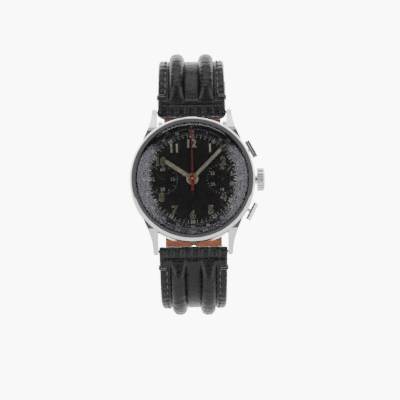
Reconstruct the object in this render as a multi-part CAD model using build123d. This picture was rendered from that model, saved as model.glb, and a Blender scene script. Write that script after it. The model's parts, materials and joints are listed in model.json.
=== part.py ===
"""Mechanical chronograph wristwatch on a two-piece padded strap, as separate parts.

Watch frame while modelling: x towards 3 o'clock, y towards 12 o'clock, z from the
case back's outer face towards the crystal. Every part is turned to the shared
frame on export, so the dial faces -Y and 12 o'clock is +Z. All sizes in mm.
"""

import os
from math import atan2, cos, degrees, hypot, pi, radians, sin

from build123d import *

# ---- case ----
CASE_R = 18.0
CASE_BORE = 15.4
CASE_BOTTOM = 1.6
CASE_SHOULDER = 8.2
CASE_TOP = 9.0
NECK_R = 17.0
DIAL_SEAT_R = 16.4
DIAL_SEAT_Z = 7.9
LUG_GAP = 20.1
BAR_Y = CASE_R + 2.2
BAR_Z = 2.0
BAR_R = 0.75
BEZEL_R = CASE_R - 0.15
BEZEL_CREST_R = 17.05
BEZEL_TOP = 10.25
GLASS_R = 16.15
GLASS_INNER_R = 15.75
GLASS_EDGE = 10.0
GLASS_FLAT_R = 11.2
GLASS_DOME = 0.3
GLASS_SHOULDER = 1.1
GLASS_WALL = 0.8
BACK_R = 16.8
BACK_FLAT_R = 13.6
BACK_FLOOR = 0.95

# ---- crown and pushers ----
CROWN_Z = 5.2
CROWN_R = 3.3
CROWN_START = CASE_R + 0.5
CROWN_END = CROWN_START + 2.35
CROWN_RIM = 0.55
CROWN_SOCKET = CROWN_START + 0.85
CROWN_FLUTES = 30
TUBE_R = 1.2
STEM_R = 0.6
STEM_SQUARE = 0.7
PUSH_ANGLE = 28.0
PUSH_Z = 3.3
PUSH_WIDTH = 5.25
PUSH_DEPTH = 2.1
PUSH_CAP_START = CASE_R + 0.55
PUSH_CAP_END = PUSH_CAP_START + 1.45
PUSH_BEVEL = 0.8
PUSH_POCKET = CASE_R - 0.4
PUSH_STEM_R = 0.5
PUSH_INNER_R = 14.0

# ---- dial and hands ----
DIAL_R = 16.3
DIAL_BOTTOM = 8.0
DIAL_TOP = 8.4
SUBDIAL_X = 8.5
SUBDIAL_R = 4.6
SUBDIAL_DEPTH = 0.1
SUB_HAND_Z = 8.6
HOUR_Z = 8.95
MINUTE_Z = 9.35
CHRONO_Z = 9.75
HAND_THICK = 0.15
HOUR_LENGTH = 9.8
MINUTE_LENGTH = 13.9
CHRONO_LENGTH = 15.2
HOUR_ANGLE = 303.7
MINUTE_ANGLE = 44.6
SMALL_SECONDS_ANGLE = 270.0
COUNTER_ANGLE = 0.0

# ---- movement plates ----
PLATE_R = 14.3
PLATE_BOTTOM = 5.6
PLATE_TOP = 7.0
BRIDGE_BACK = 3.2
BRIDGE_FRONT = 3.85
RING_R = 15.35
RING_BOTTOM = 5.9
PIVOT_R = 0.2
RUNNING = 0.05

# ---- movement centres ----
CENTRE = (0.0, 0.0)
BARREL = (3.57, 6.18)
THIRD = (-4.8, -2.48)
FOURTH = (-8.5, 0.0)
ESCAPE = (-9.11, -3.47)
PALLET = (-7.567, -5.187)
BALANCE = (-4.5, -8.6)
COUNTER = (8.5, 0.0)
MOTION = (2.55, -2.54)
CROWN_WHEEL = (10.9, 2.9)
COLUMN = (7.4, 8.2)
CLICK = (-3.2, 8.9)
HAMMER = (10.4, -5.2)
BRAKE = (0.5, -6.6)
LEVER_X = 12.0
LEVER_Y = 2.0
TRAIN_FEET = ((-9.6, 4.6), (-12.9, -2.2), BRAKE)
BARREL_FEET = ((-4.2, 10.5), (10.6, 8.3), (-4.0, 4.6), (12.6, -2.6))
COCK_FOOT = (1.2, -11.0)
PALLET_FOOT = (-10.5, -7.5)
CHRONO_FEET = ((2.6, -7.6), (1.6, 7.9))

# ---- gearing ----
BARREL_M = 0.17
CENTRE_M = 0.12
THIRD_M = 0.105
FOURTH_M = 0.08
CHRONO_M = 0.1
WINDING_TEETH = 14
INTERMEDIATE_TEETH = 32
RUNNER_TEETH = 72
DRIVER_TEETH = 42
CLEAR_ANGLE = 8.0
FINGER_LENGTH = 6.0

# ---- strap ----
STRAP_REACH_12 = 36.2
STRAP_REACH_6 = 33.8
STRAP_CENTRE_Z = -13.0
STRAP_BACK_Z = -55.5
STRAP_SQUARENESS = 2.7
STRAP_WIDTH = LUG_GAP - 0.4
STRAP_END_WIDTH = STRAP_WIDTH - 1.9
LINING = 0.9
GLUE = 0.06
UPPER = 1.4
RIDGE = 2.0
SHORT_LENGTH = 64.0
LONG_LENGTH = 96.0
ROLL_R = 1.5
HOLE_R = 0.9
HOLE_PITCH = 6.0
HOLE_COUNT = 7
FIRST_HOLE = 18.0
KEEPER_WIDTH = 4.0
FIXED_KEEPER_S = 58.5
FREE_KEEPER_S = 51.5
BUCKLE_BAR_R = 0.6
BUCKLE_LENGTH = 9.0
BUCKLE_HALF_WIDTH = 10.7
BUCKLE_ARM = 1.3


def disc(radius, z0, z1, bore=0.0):
    """Round plate or tube standing on z."""
    face = Circle(radius)
    if bore:
        face -= Circle(bore)
    return Pos(0, 0, z0) * extrude(face, z1 - z0)


def at(point, shape):
    """Move a part built on the z axis to its centre in the movement."""
    return Pos(point[0], point[1], 0) * shape


def rod_x(radius, x0, x1, bore=0.0):
    """Round bar lying along the stem axis."""
    bar = Pos(x0, 0, CROWN_Z) * Rot(0, 90, 0) * disc(radius, 0, x1 - x0, bore)
    return bar


def gear_face(teeth, module, phase=0.0):
    """Toothed outline with straight-sided teeth and running backlash."""
    pitch = 2 * pi / teeth
    radius = teeth * module / 2
    root = radius - 1.25 * module
    tip = radius + 0.95 * module
    points = []
    for tooth in range(teeth):
        middle = tooth * pitch + radians(phase)
        for r, offset in ((root, -0.30), (tip, -0.11), (tip, 0.11), (root, 0.30)):
            angle = middle + offset * pitch
            points.append((r * cos(angle), r * sin(angle)))
    return make_face(Polyline(*points, close=True))


def gear(teeth, module, z0, z1, phase=0.0, bore=0.0, arms=0):
    """Gear wheel, crossed out with arms when asked."""
    face = gear_face(teeth, module, phase)
    if arms:
        rim = teeth * module / 2 - 3.2 * module
        hub = max(0.24 * rim, bore + 0.3)
        windows = Circle(rim) - Circle(hub)
        for arm in range(arms):
            bar = Pos(rim / 2, 0) * Rectangle(rim + 0.4, 0.14 * rim)
            windows -= Rot(0, 0, 360 * arm / arms + 20) * bar
        face -= windows
    if bore:
        face -= Circle(bore)
    return Pos(0, 0, z0) * extrude(face, z1 - z0)


def meshing_phase(phase, teeth, other_teeth, centre, other_centre):
    """Phase that puts the other wheel's gap where this wheel has a tooth."""
    line = degrees(atan2(other_centre[1] - centre[1], other_centre[0] - centre[0]))
    pitch = 360 / teeth
    share = ((line - phase) / pitch) % 1
    return line + 180 - 360 / other_teeth * (0.5 - share)


def capsule(start, start_r, end, end_r):
    """Flat bar with round ends of two radii."""
    length = hypot(end[0] - start[0], end[1] - start[1])
    along = atan2(end[1] - start[1], end[0] - start[0])
    lean = pi / 2 - atan2(start_r - end_r, length)
    corners = []
    for centre, radius, side in (
        (start, start_r, 1),
        (end, end_r, 1),
        (end, end_r, -1),
        (start, start_r, -1),
    ):
        angle = along + side * lean
        corners.append((centre[0] + radius * cos(angle), centre[1] + radius * sin(angle)))
    body = make_face(Polyline(*corners, close=True))
    return body + Pos(*start) * Circle(start_r) + Pos(*end) * Circle(end_r)


def lever(stations, z0, z1, bore=0.0):
    """Lever through a chain of (point, radius) stations, bored at the first one."""
    face = None
    for (start, start_r), (end, end_r) in zip(stations, stations[1:]):
        piece = capsule(start, start_r, end, end_r)
        face = piece if face is None else face + piece
    if bore:
        face -= Pos(*stations[0][0]) * Circle(bore)
    return Pos(0, 0, z0) * extrude(face, z1 - z0)


def hull_plate(stations, z0, z1):
    """Bridge outline stretched around round bosses."""
    edges = []
    for point, radius in stations:
        edges += (Pos(*point) * Circle(radius)).edges()
    return Pos(0, 0, z0) * extrude(make_hull(edges), z1 - z0)


def pillars(points, radius, z0, z1):
    """Feet that carry a bridge."""
    return [at(point, disc(radius, z0, z1)) for point in points]


def holes(items, z0, z1):
    """Pivot holes as a list of cutters."""
    return [at(point, disc(radius, z0, z1)) for point, radius in items]


def spiral(inner, outer, turns, thickness, z0, z1):
    """Flat coiled spring."""
    steps = int(turns * 24)
    outside = []
    inside = []
    for step in range(steps + 1):
        angle = 2 * pi * turns * step / steps
        radius = inner + (outer - inner) * step / steps
        outside.append(((radius + thickness) * cos(angle), (radius + thickness) * sin(angle)))
        inside.append((radius * cos(angle), radius * sin(angle)))
    face = make_face(Polyline(*outside, *reversed(inside), close=True))
    return Pos(0, 0, z0) * extrude(face, z1 - z0)


def heart(z0, z1):
    """Heart cam with its low point towards 6 o'clock."""
    points = []
    for step in range(48):
        turn = 2 * pi * step / 48
        rise = abs(pi - turn) / pi
        radius = 0.55 + 0.55 * (1 - rise)
        points.append((radius * cos(turn - pi / 2), radius * sin(turn - pi / 2)))
    return Pos(0, 0, z0) * extrude(make_face(Polyline(*points, close=True)), z1 - z0)


# ---- case parts ----


def lug(side_x, side_y):
    """One slender, down-curved horn before it joins the case flank."""
    gap = LUG_GAP / 2
    flare = Spline((gap + 1.4, 20.6), (gap + 1.5, 19.0), (gap + 1.85, 17.1), (gap + 2.5, 15.0), (gap + 3.9, 11.8))
    plan = [
        Line((gap + 3.9, 11.8), (gap + 3.9, 8.0)),
        Line((gap + 3.9, 8.0), (gap, 8.0)),
        Line((gap, 8.0), (gap, 20.9)),
        Line((gap, 20.9), (gap + 0.3, 21.2)),
        Line((gap + 0.3, 21.2), (gap + 1.0, 21.2)),
        Line((gap + 1.0, 21.2), (gap + 1.4, 20.6)),
        flare,
    ]
    side = Polyline(
        (8.0, 8.2), (14.1, 8.2), (15.2, 7.15), (19.0, 5.35), (20.6, 3.5), (21.2, 2.0),
        (21.0, 1.1), (20.2, 0.8), (18.6, 1.1), (16.0, 2.0), (8.0, 2.2),
        close=True,
    )
    horn = extrude(make_face(plan), 10)
    profile = extrude(Plane.YZ * make_face(side), 20)
    horn = horn & profile
    if side_x < 0:
        horn = mirror(horn, Plane.YZ)
    if side_y < 0:
        horn = mirror(horn, Plane.XZ)
    return horn


def case_middle():
    """Case band with its four lugs, bored for movement, crown and pushers."""
    flank = Polyline(
        (0, CASE_BOTTOM), (17.1, CASE_BOTTOM), (17.7, 2.0), (CASE_R, 2.8), (CASE_R, 7.6),
        (17.85, CASE_SHOULDER), (NECK_R, CASE_SHOULDER), (NECK_R, CASE_TOP), (0, CASE_TOP),
        close=True,
    )
    body = revolve(Plane.XZ * make_face(flank), Axis.Z)
    for side_x in (1, -1):
        for side_y in (1, -1):
            body += lug(side_x, side_y)
    body -= disc(CASE_BORE, 0, DIAL_SEAT_Z)
    body -= disc(DIAL_SEAT_R, DIAL_SEAT_Z, 12)
    body -= disc(BEZEL_R + 0.2, CASE_SHOULDER, 12, NECK_R)
    body -= rod_x(TUBE_R, 14, 19)
    pocket = Pos(0, 0, PUSH_POCKET + 1) * Box(PUSH_DEPTH + 0.3, PUSH_WIDTH + 0.3, 2)
    for angle in (PUSH_ANGLE, -PUSH_ANGLE):
        body -= pusher_place(angle, disc(TUBE_R - 0.2, 14, 19))
        body -= pusher_place(angle, pocket)
    for side_y in (1, -1):
        bar = Pos(0, side_y * BAR_Y, BAR_Z) * Rot(0, 90, 0)
        body -= bar * Cylinder(0.45, 2 * (LUG_GAP / 2 + 1.0))
    return body


def pusher_place(angle, shape):
    """Turn a part built along z onto a pusher axis."""
    return Rot(0, 0, angle) * Pos(0, 0, PUSH_Z) * Rot(0, 90, 0) * shape


def bezel():
    """Polished ring that holds the crystal, nearly flat inside its crest and round outside it."""
    bore = GLASS_R + 0.02
    flank = BEZEL_TOP - 1.05
    groove = CASE_SHOULDER + 0.35
    lines = [
        Polyline(
            (BEZEL_R, flank), (BEZEL_R - 0.05, groove + 0.15), (17.5, groove), (17.5, CASE_SHOULDER),
            (NECK_R, CASE_SHOULDER), (NECK_R, CASE_TOP), (16.35, CASE_TOP), (16.35, 8.5), (GLASS_INNER_R, 8.5),
            (GLASS_INNER_R, CASE_TOP + 0.05), (bore, CASE_TOP + 0.05), (bore, BEZEL_TOP - 0.03),
        ),
        ThreePointArc(
            (bore, BEZEL_TOP - 0.03),
            ((bore + BEZEL_CREST_R) / 2, BEZEL_TOP),
            (BEZEL_CREST_R, BEZEL_TOP - 0.04),
        ),
        ThreePointArc((BEZEL_CREST_R, BEZEL_TOP - 0.04), (BEZEL_R - 0.32, BEZEL_TOP - 0.52), (BEZEL_R, flank)),
    ]
    return revolve(Plane.XZ * make_face(lines), Axis.Z)


def dome_arc(top, reach, edge):
    """Arc from the axis down to an edge, level at the axis."""
    drop = top - edge
    radius = (reach**2 + drop**2) / (2 * drop)
    middle = reach / 2
    sag = radius - (radius**2 - middle**2) ** 0.5
    return ThreePointArc((0, top), (middle, top - sag), (reach, edge))


def crystal():
    """Acrylic glass: a shallow dome, a wide rounded shoulder and a straight skirt."""
    base = CASE_TOP + 0.05
    brow = GLASS_EDGE + 0.8
    shoulder = brow + GLASS_SHOULDER
    inner_brow = GLASS_EDGE + 0.25
    inner_shoulder = shoulder - GLASS_WALL
    brow_r = GLASS_R - 0.75
    inner_r = GLASS_INNER_R - 0.4
    outer_middle = ((GLASS_FLAT_R + brow_r) / 2, shoulder - 0.37 * GLASS_SHOULDER)
    inner_drop = inner_shoulder - inner_brow
    inner_middle = ((GLASS_FLAT_R + inner_r) / 2, inner_shoulder - 0.38 * inner_drop)
    lines = [
        dome_arc(shoulder + GLASS_DOME, GLASS_FLAT_R, shoulder),
        ThreePointArc((GLASS_FLAT_R, shoulder), outer_middle, (brow_r, brow)),
        ThreePointArc((brow_r, brow), (GLASS_R - 0.2, GLASS_EDGE + 0.45), (GLASS_R, GLASS_EDGE)),
        Polyline(
            (GLASS_R, GLASS_EDGE), (GLASS_R, base), (GLASS_INNER_R, base),
            (GLASS_INNER_R, GLASS_EDGE), (inner_r, inner_brow),
        ),
        ThreePointArc((inner_r, inner_brow), inner_middle, (GLASS_FLAT_R, inner_shoulder)),
        dome_arc(inner_shoulder + GLASS_DOME, GLASS_FLAT_R, inner_shoulder),
        Line((0, inner_shoulder + GLASS_DOME), (0, shoulder + GLASS_DOME)),
    ]
    return revolve(Plane.XZ * make_face(lines), Axis.Z)


def case_back():
    """Stepped press-in back with a flat outer face and a hollow inside."""
    profile = Polyline(
        (0, 0), (BACK_FLAT_R, 0), (15.6, 0.55), (BACK_R, 1.0), (BACK_R, 1.55), (15.3, 1.55),
        (15.3, 2.3), (14.5, 2.3), (14.5, BACK_FLOOR), (0, BACK_FLOOR),
        close=True,
    )
    return revolve(Plane.XZ * make_face(profile), Axis.Z)


def movement_ring():
    """Spacer between the movement and the case band."""
    return disc(RING_R, RING_BOTTOM, DIAL_BOTTOM, PLATE_R + 0.05)


def crown_tube():
    """Sleeve pressed into the band for the stem."""
    return rod_x(TUBE_R, 15.5, 19.2, 0.7)


def pusher_tubes():
    """Two sleeves pressed into the band for the pushers."""
    sleeve = disc(TUBE_R - 0.22, 15.5, PUSH_POCKET, PUSH_STEM_R + RUNNING)
    return [pusher_place(angle, sleeve) for angle in (PUSH_ANGLE, -PUSH_ANGLE)]


def crown():
    """Fluted crown with a domed end and a socket over the tube."""
    profile = Polyline(
        (0, CROWN_START), (CROWN_R - 0.15, CROWN_START), (CROWN_R, CROWN_START + 0.15),
        (CROWN_R, CROWN_END - CROWN_RIM), (CROWN_R - 0.35, CROWN_END - 0.3),
        (2.0, CROWN_END - 0.08), (0, CROWN_END),
        close=True,
    )
    body = revolve(Plane.XZ * make_face(profile), Axis.Z)
    flute = Pos(CROWN_R + 0.12, 0, CROWN_START - 0.1) * extrude(Circle(0.26), CROWN_END - CROWN_RIM - CROWN_START + 0.3)
    flutes = [Rot(0, 0, 360 * i / CROWN_FLUTES) * flute for i in range(CROWN_FLUTES)]
    body -= flutes
    body -= disc(TUBE_R + 0.15, CROWN_START - 1, CROWN_SOCKET)
    body -= disc(STEM_R, 18, 20.2)
    return Pos(0, 0, CROWN_Z) * Rot(0, 90, 0) * body


def winding_stem():
    """Stem with a square for the clutch and an end in the crown."""
    stem = rod_x(STEM_R, 12.3, 20.2)
    square = Pos((9.2 + 12.4) / 2, 0, CROWN_Z) * Box(3.2, STEM_SQUARE, STEM_SQUARE)
    return stem + square + rod_x(0.25, 8.9, 9.3)


def pusher(angle):
    """Rectangular cap, bevelled towards its outer face, on a round stem."""
    deep = PUSH_DEPTH / 2
    neck = PUSH_CAP_END - PUSH_BEVEL
    side = Polyline(
        (deep, PUSH_CAP_START), (deep, neck), (deep - 0.5, PUSH_CAP_END),
        (0.5 - deep, PUSH_CAP_END), (-deep, neck), (-deep, PUSH_CAP_START),
        close=True,
    )
    cap = extrude(Plane.XZ * make_face(side), PUSH_WIDTH / 2, both=True)
    cap = fillet(cap.edges(), 0.12)
    return pusher_place(angle, cap + disc(PUSH_STEM_R, PUSH_INNER_R, PUSH_CAP_START + 0.3))


def spring_bars():
    """Two bars between the lugs that carry the strap ends."""
    bars = []
    for side_y in (1, -1):
        tube = Cylinder(BAR_R, LUG_GAP - 0.3)
        pins = Cylinder(0.42, LUG_GAP + 1.8)
        bars.append(Pos(0, side_y * BAR_Y, BAR_Z) * Rot(0, 90, 0) * (tube + pins))
    return bars


# ---- dial side ----


def dial():
    """Dial plate with two sunk counters and the hand holes."""
    plate = disc(DIAL_R, DIAL_BOTTOM, DIAL_TOP, 1.15)
    for x in (SUBDIAL_X, -SUBDIAL_X):
        plate -= Pos(x, 0, 0) * disc(SUBDIAL_R, DIAL_TOP - SUBDIAL_DEPTH, DIAL_TOP + 1)
        plate -= Pos(x, 0, 0) * disc(0.3, DIAL_BOTTOM - 1, DIAL_TOP + 1)
    return plate


def hand(outline, hub_r, bore, z, angle, thick=HAND_THICK):
    """Flat hand drawn towards 12 o'clock and turned clockwise to its angle."""
    face = make_face(Polyline(*outline, close=True)) + Circle(hub_r)
    face -= Circle(bore)
    return Rot(0, 0, -angle) * Pos(0, 0, z) * extrude(face, thick)


def hour_hand():
    half = 0.72
    outline = ((-0.3, 0), (-half, 2.0), (-half, 8.4), (0, HOUR_LENGTH), (half, 8.4), (half, 2.0), (0.3, 0))
    return hand(outline, 1.75, 1.0, HOUR_Z, HOUR_ANGLE)


def minute_hand():
    half = 0.62
    outline = (
        (-0.3, 0), (-half, 1.8), (-half, 11.5), (-0.15, 11.9), (-0.15, MINUTE_LENGTH),
        (0.15, MINUTE_LENGTH), (0.15, 11.9), (half, 11.5), (half, 1.8), (0.3, 0),
    )
    return hand(outline, 1.5, 0.75, MINUTE_Z, MINUTE_ANGLE)


def chrono_hand():
    outline = ((-0.4, -3.5), (0.4, -3.5), (0.22, 0), (0.14, CHRONO_LENGTH), (-0.14, CHRONO_LENGTH), (-0.22, 0))
    blade = hand(outline, 0.83, PIVOT_R, CHRONO_Z, 0.0, 0.12)
    return blade + disc(0.45, CHRONO_Z + 0.12, 10.0)


def sub_hand(angle):
    outline = ((-0.22, -1.2), (0.22, -1.2), (0.1, 3.4), (-0.1, 3.4))
    return hand(outline, 0.5, PIVOT_R, SUB_HAND_Z, angle, 0.12)


def small_seconds_hand():
    return at(FOURTH, sub_hand(SMALL_SECONDS_ANGLE))


def counter_hand():
    return at(COUNTER, sub_hand(COUNTER_ANGLE))


def cannon_pinion():
    """Pipe that carries the minute hand."""
    return disc(0.75, 7.05, 9.55, 0.52) + gear(12, 0.15, 7.08, 7.32, bore=0.6)


def minute_wheel():
    phase = meshing_phase(0, 12, 36, CENTRE, MOTION)
    body = gear(36, 0.15, 7.1, 7.3, phase, 0.33) + gear(10, 0.144, 7.3, 7.7, 0, 0.33)
    return at(MOTION, body)


def hour_wheel():
    phase = meshing_phase(0, 10, 40, MOTION, CENTRE)
    return gear(40, 0.144, 7.45, 7.65, phase, 0.9) + disc(1.0, 7.45, HOUR_Z + HAND_THICK, 0.78)


# ---- plates and bridges ----


def main_plate():
    """Plate that carries the train, with recesses for barrel and keyless work."""
    plate = disc(PLATE_R, PLATE_BOTTOM, PLATE_TOP)
    low = PLATE_BOTTOM - 1
    plate -= at(BARREL, disc(6.45, low, 6.4))
    plate -= disc(1.35, low, 6.3)
    plate -= rod_x(1.1, 8.7, 12.4)
    plate -= rod_x(0.7, 12.0, 15.0)
    plate -= holes(((CENTRE, 0.55), (FOURTH, 0.25), (COUNTER, 0.25)), low, PLATE_TOP + 1)
    plate -= holes(((THIRD, 0.25), (ESCAPE, 0.25), (PALLET, 0.25), (BALANCE, 0.25)), low, 6.1)
    plate -= holes(((BARREL, 0.6),), low, 6.62)
    return plate + at(MOTION, disc(0.3, PLATE_TOP - 0.1, 7.75))


def train_bridge():
    """Bridge over centre, third, fourth and escape wheels."""
    stations = [(CENTRE, 1.2)] + [(foot, 0.9) for foot in TRAIN_FEET]
    bridge = hull_plate(stations, BRIDGE_BACK, BRIDGE_FRONT)
    bridge += pillars(TRAIN_FEET, 0.8, BRIDGE_FRONT - 0.1, PLATE_BOTTOM)
    bridge -= holes(((CENTRE, 0.55), (THIRD, 0.25), (FOURTH, 0.25), (ESCAPE, 0.25)), 2, 4)
    return bridge + at(BRAKE, disc(0.28, 2.45, BRIDGE_BACK + 0.1))


def barrel_bridge():
    """Bridge over barrel, ratchet and crown wheel, with posts for the chronograph."""
    bridge = hull_plate([(foot, 0.9) for foot in BARREL_FEET], BRIDGE_BACK, BRIDGE_FRONT)
    bridge += pillars(BARREL_FEET, 0.75, BRIDGE_FRONT - 0.1, PLATE_BOTTOM)
    bridge -= holes(((BARREL, 0.6), (COUNTER, 0.25)), 2, 4)
    bridge -= pusher_place(PUSH_ANGLE, disc(0.8, 12.0, 16))
    bridge += at(CROWN_WHEEL, disc(0.45, BRIDGE_FRONT - 0.1, 4.2))
    bridge += at(CLICK, disc(0.25, BRIDGE_FRONT - 0.1, 4.2))
    bridge += at(COLUMN, disc(0.3, 1.85, BRIDGE_BACK + 0.1))
    for side in (1, -1):
        bridge += at((LEVER_X, side * LEVER_Y), disc(0.3, 2.6, BRIDGE_BACK + 0.1))
    return bridge


def balance_cock():
    """Cock over the balance."""
    cock = hull_plate([(BALANCE, 1.5), (COCK_FOOT, 1.2)], BRIDGE_BACK, BRIDGE_FRONT)
    cock += pillars((COCK_FOOT,), 1.0, BRIDGE_FRONT - 0.1, PLATE_BOTTOM)
    return cock - holes(((BALANCE, 0.25),), 3.3, 4)


def pallet_bridge():
    """Small bridge over the pallet arbor."""
    bridge = lever([(PALLET_FOOT, 0.8), (PALLET, 0.5)], 4.6, 4.9)
    bridge += pillars((PALLET_FOOT,), 0.7, 4.8, PLATE_BOTTOM)
    return bridge - holes(((PALLET, 0.2),), 4.7, 5)


def chrono_bridge():
    """Bridge over the chronograph wheels, with the hammer's post."""
    stations = [(CENTRE, 1.1), (COUNTER, 1.1), (HAMMER, 0.8)]
    stations += [(foot, 0.8) for foot in CHRONO_FEET]
    bridge = hull_plate(stations, 1.05, 1.5)
    bridge -= holes(((CENTRE, 0.25), (COUNTER, 0.25)), 1.12, 2)
    bridge += at(CHRONO_FEET[0], disc(0.6, 1.4, PLATE_BOTTOM))
    bridge += at(CHRONO_FEET[1], disc(0.6, 1.4, BRIDGE_BACK))
    return bridge + at(HAMMER, disc(0.3, 1.4, 2.45))


# ---- going train ----


def barrel():
    """Toothed drum closed by its cover."""
    phase = meshing_phase(0, 12, 72, CENTRE, BARREL)
    drum = disc(5.9, 4.55, 6.25) + gear(72, BARREL_M, 5.75, 6.15, phase)
    drum -= disc(5.5, 4.8, 6.05)
    drum -= disc(0.6, 4, 7)
    return at(BARREL, drum)


def mainspring():
    return at(BARREL, spiral(0.95, 5.2, 9, 0.12, 4.9, 5.95))


def barrel_arbor():
    return at(BARREL, disc(0.55, 3.3, 6.6) + disc(0.85, 4.85, 6.0))


def wind_module():
    """Module that makes ratchet and crown wheel meet on their centres."""
    distance = hypot(CROWN_WHEEL[0] - BARREL[0], CROWN_WHEEL[1] - BARREL[1])
    return 2 * distance / (52 + 31)


def ratchet_wheel():
    return at(BARREL, gear(52, wind_module(), 3.92, 4.1, 0, 0.55))


def crown_wheel():
    phase = meshing_phase(0, 52, 31, BARREL, CROWN_WHEEL)
    return at(CROWN_WHEEL, gear(31, wind_module(), 3.92, 4.1, phase, 0.5))


def click():
    """Pawl that stops the ratchet wheel running back."""
    nose = (BARREL[0] - 5.28 * cos(radians(8)), BARREL[1] + 5.28 * sin(radians(8)))
    return lever([(CLICK, 0.6), (nose, 0.1)], 3.92, 4.1, 0.3)


def centre_wheel():
    """Centre wheel and pinion on a hollow arbor."""
    wheel = gear(80, CENTRE_M, 4.22, 4.4, 0, arms=5) + gear(12, BARREL_M, 5.75, 6.15, 0)
    wheel += disc(0.5, 3.25, 9.3)
    return wheel - disc(0.27, 3, 10)


def third_phase():
    return meshing_phase(0, 80, 10, CENTRE, THIRD)


def fourth_phase():
    return meshing_phase(third_phase(), 75, 10, THIRD, FOURTH)


def third_wheel():
    wheel = gear(10, CENTRE_M, 4.05, 4.6, third_phase())
    wheel += gear(75, THIRD_M, 4.9, 5.05, third_phase(), arms=5)
    return at(THIRD, wheel + disc(PIVOT_R, 3.3, 6.0))


def fourth_wheel():
    """Fourth wheel, its pinion and the chronograph driving wheel on one long arbor."""
    wheel = gear(10, THIRD_M, 4.75, 5.3, fourth_phase())
    wheel += gear(80, FOURTH_M, 4.2, 4.35, fourth_phase(), arms=5)
    wheel += gear(DRIVER_TEETH, CHRONO_M, 2.6, 2.8, 0, arms=3)
    return at(FOURTH, wheel + disc(PIVOT_R, 2.1, SUB_HAND_Z + 0.15))


def escape_wheel():
    """Fifteen-tooth escape wheel with its pinion."""
    points = []
    for tooth in range(15):
        angle = 2 * pi * tooth / 15
        for radius, offset in ((1.5, -0.10), (2.0, 0.02), (1.94, 0.10), (1.5, 0.06)):
            points.append((radius * cos(angle + offset), radius * sin(angle + offset)))
    face = make_face(Polyline(*points, close=True))
    windows = Circle(1.2) - Circle(0.45)
    for arm in range(4):
        windows -= Rot(0, 0, 90 * arm) * Pos(0.6, 0) * Rectangle(1.4, 0.2)
    wheel = Pos(0, 0, 5.25) * extrude(face - windows, 0.15)
    phase = meshing_phase(fourth_phase(), 80, 8, FOURTH, ESCAPE)
    wheel += gear(8, FOURTH_M, 4.1, 4.6, phase)
    return at(ESCAPE, wheel + disc(0.16, 3.3, 6.0))


def polar(centre, radius, angle):
    """Point at a distance and direction from a centre."""
    return (centre[0] + radius * cos(angle), centre[1] + radius * sin(angle))


def pallet_fork():
    """Pallet lever astride the escape wheel, its fork under the balance roller."""
    to_pallet = atan2(PALLET[1] - ESCAPE[1], PALLET[0] - ESCAPE[0])
    to_balance = atan2(BALANCE[1] - PALLET[1], BALANCE[0] - PALLET[0])
    fork = lever([(PALLET, 0.42), (polar(PALLET, 4.0, to_balance), 0.16)], 5.25, 5.4)
    for side in (1, -1):
        elbow = polar(ESCAPE, 2.75, to_pallet + side * radians(30))
        stone = polar(ESCAPE, 2.2, to_pallet + side * radians(50))
        fork += lever([(PALLET, 0.42), (elbow, 0.14), (stone, 0.12)], 5.25, 5.4)
    return fork + at(PALLET, disc(0.15, 4.75, 6.0))


def balance():
    """Balance rim, arms, staff and roller with its impulse pin."""
    rim = Circle(3.9) - Circle(3.4)
    for arm in range(3):
        rim += Rot(0, 0, 120 * arm) * Pos(1.75, 0) * Rectangle(3.5, 0.35)
    rim += Circle(0.6)
    wheel = Pos(0, 0, 4.35) * extrude(rim, 0.4)
    wheel += disc(0.15, 3.4, 6.0)
    wheel += disc(0.85, 4.95, 5.1)
    to_pallet = atan2(PALLET[1] - BALANCE[1], PALLET[0] - BALANCE[0])
    wheel += at(polar((0, 0), 0.6, to_pallet), disc(0.08, 5.05, 5.2))
    return at(BALANCE, wheel)


def hairspring():
    return at(BALANCE, spiral(0.5, 2.6, 7, 0.06, 3.98, 4.12) + disc(0.5, 3.95, 4.2, 0.15))


# ---- keyless work ----


def toothed_sleeve(teeth, x0, x1, square=False):
    """Sleeve on the stem with radial teeth."""
    sleeve = gear(teeth, 2 * 0.95 / (teeth + 1.9), 0, x1 - x0)
    if square:
        sleeve -= extrude(Rectangle(STEM_SQUARE + 0.06, STEM_SQUARE + 0.06), 3)
    else:
        sleeve -= disc(STEM_SQUARE / 2**0.5 + 0.03, 0, 3)
    return Pos(x0, 0, CROWN_Z) * Rot(0, 90, 0) * sleeve


def clutch():
    return toothed_sleeve(WINDING_TEETH, 9.3, 10.7, True)


def winding_pinion():
    return toothed_sleeve(WINDING_TEETH, 10.9, 12.1)


# ---- chronograph work ----


def chrono_runner():
    """Chronograph wheel, heart and minute finger on the long centre arbor."""
    runner = gear(RUNNER_TEETH, CHRONO_M, 2.6, 2.8, arms=5) + heart(2.0, 2.4)
    runner += disc(0.45, 2.0, 3.0)
    runner += disc(PIVOT_R, 1.15, CHRONO_Z + 0.12)
    finger = lever([((0, 0), 0.4), (polar((0, 0), FINGER_LENGTH - 0.12, radians(200)), 0.12)], 2.85, 3.0)
    return runner + finger


def intermediate_place():
    """Idle position of the coupling wheel, swung clear of the runner."""
    gap_f = (DRIVER_TEETH + INTERMEDIATE_TEETH) * CHRONO_M / 2
    gap_c = (RUNNER_TEETH + INTERMEDIATE_TEETH) * CHRONO_M / 2
    apart = -FOURTH[0]
    offset = (apart**2 + gap_f**2 - gap_c**2) / (2 * apart)
    meshed = atan2((gap_f**2 - offset**2) ** 0.5, offset)
    return polar(FOURTH, gap_f, meshed + radians(CLEAR_ANGLE))


def coupling_wheel():
    place = intermediate_place()
    phase = meshing_phase(0, DRIVER_TEETH, INTERMEDIATE_TEETH, FOURTH, place)
    return at(place, gear(INTERMEDIATE_TEETH, CHRONO_M, 2.6, 2.8, phase, 0.24))


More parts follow.
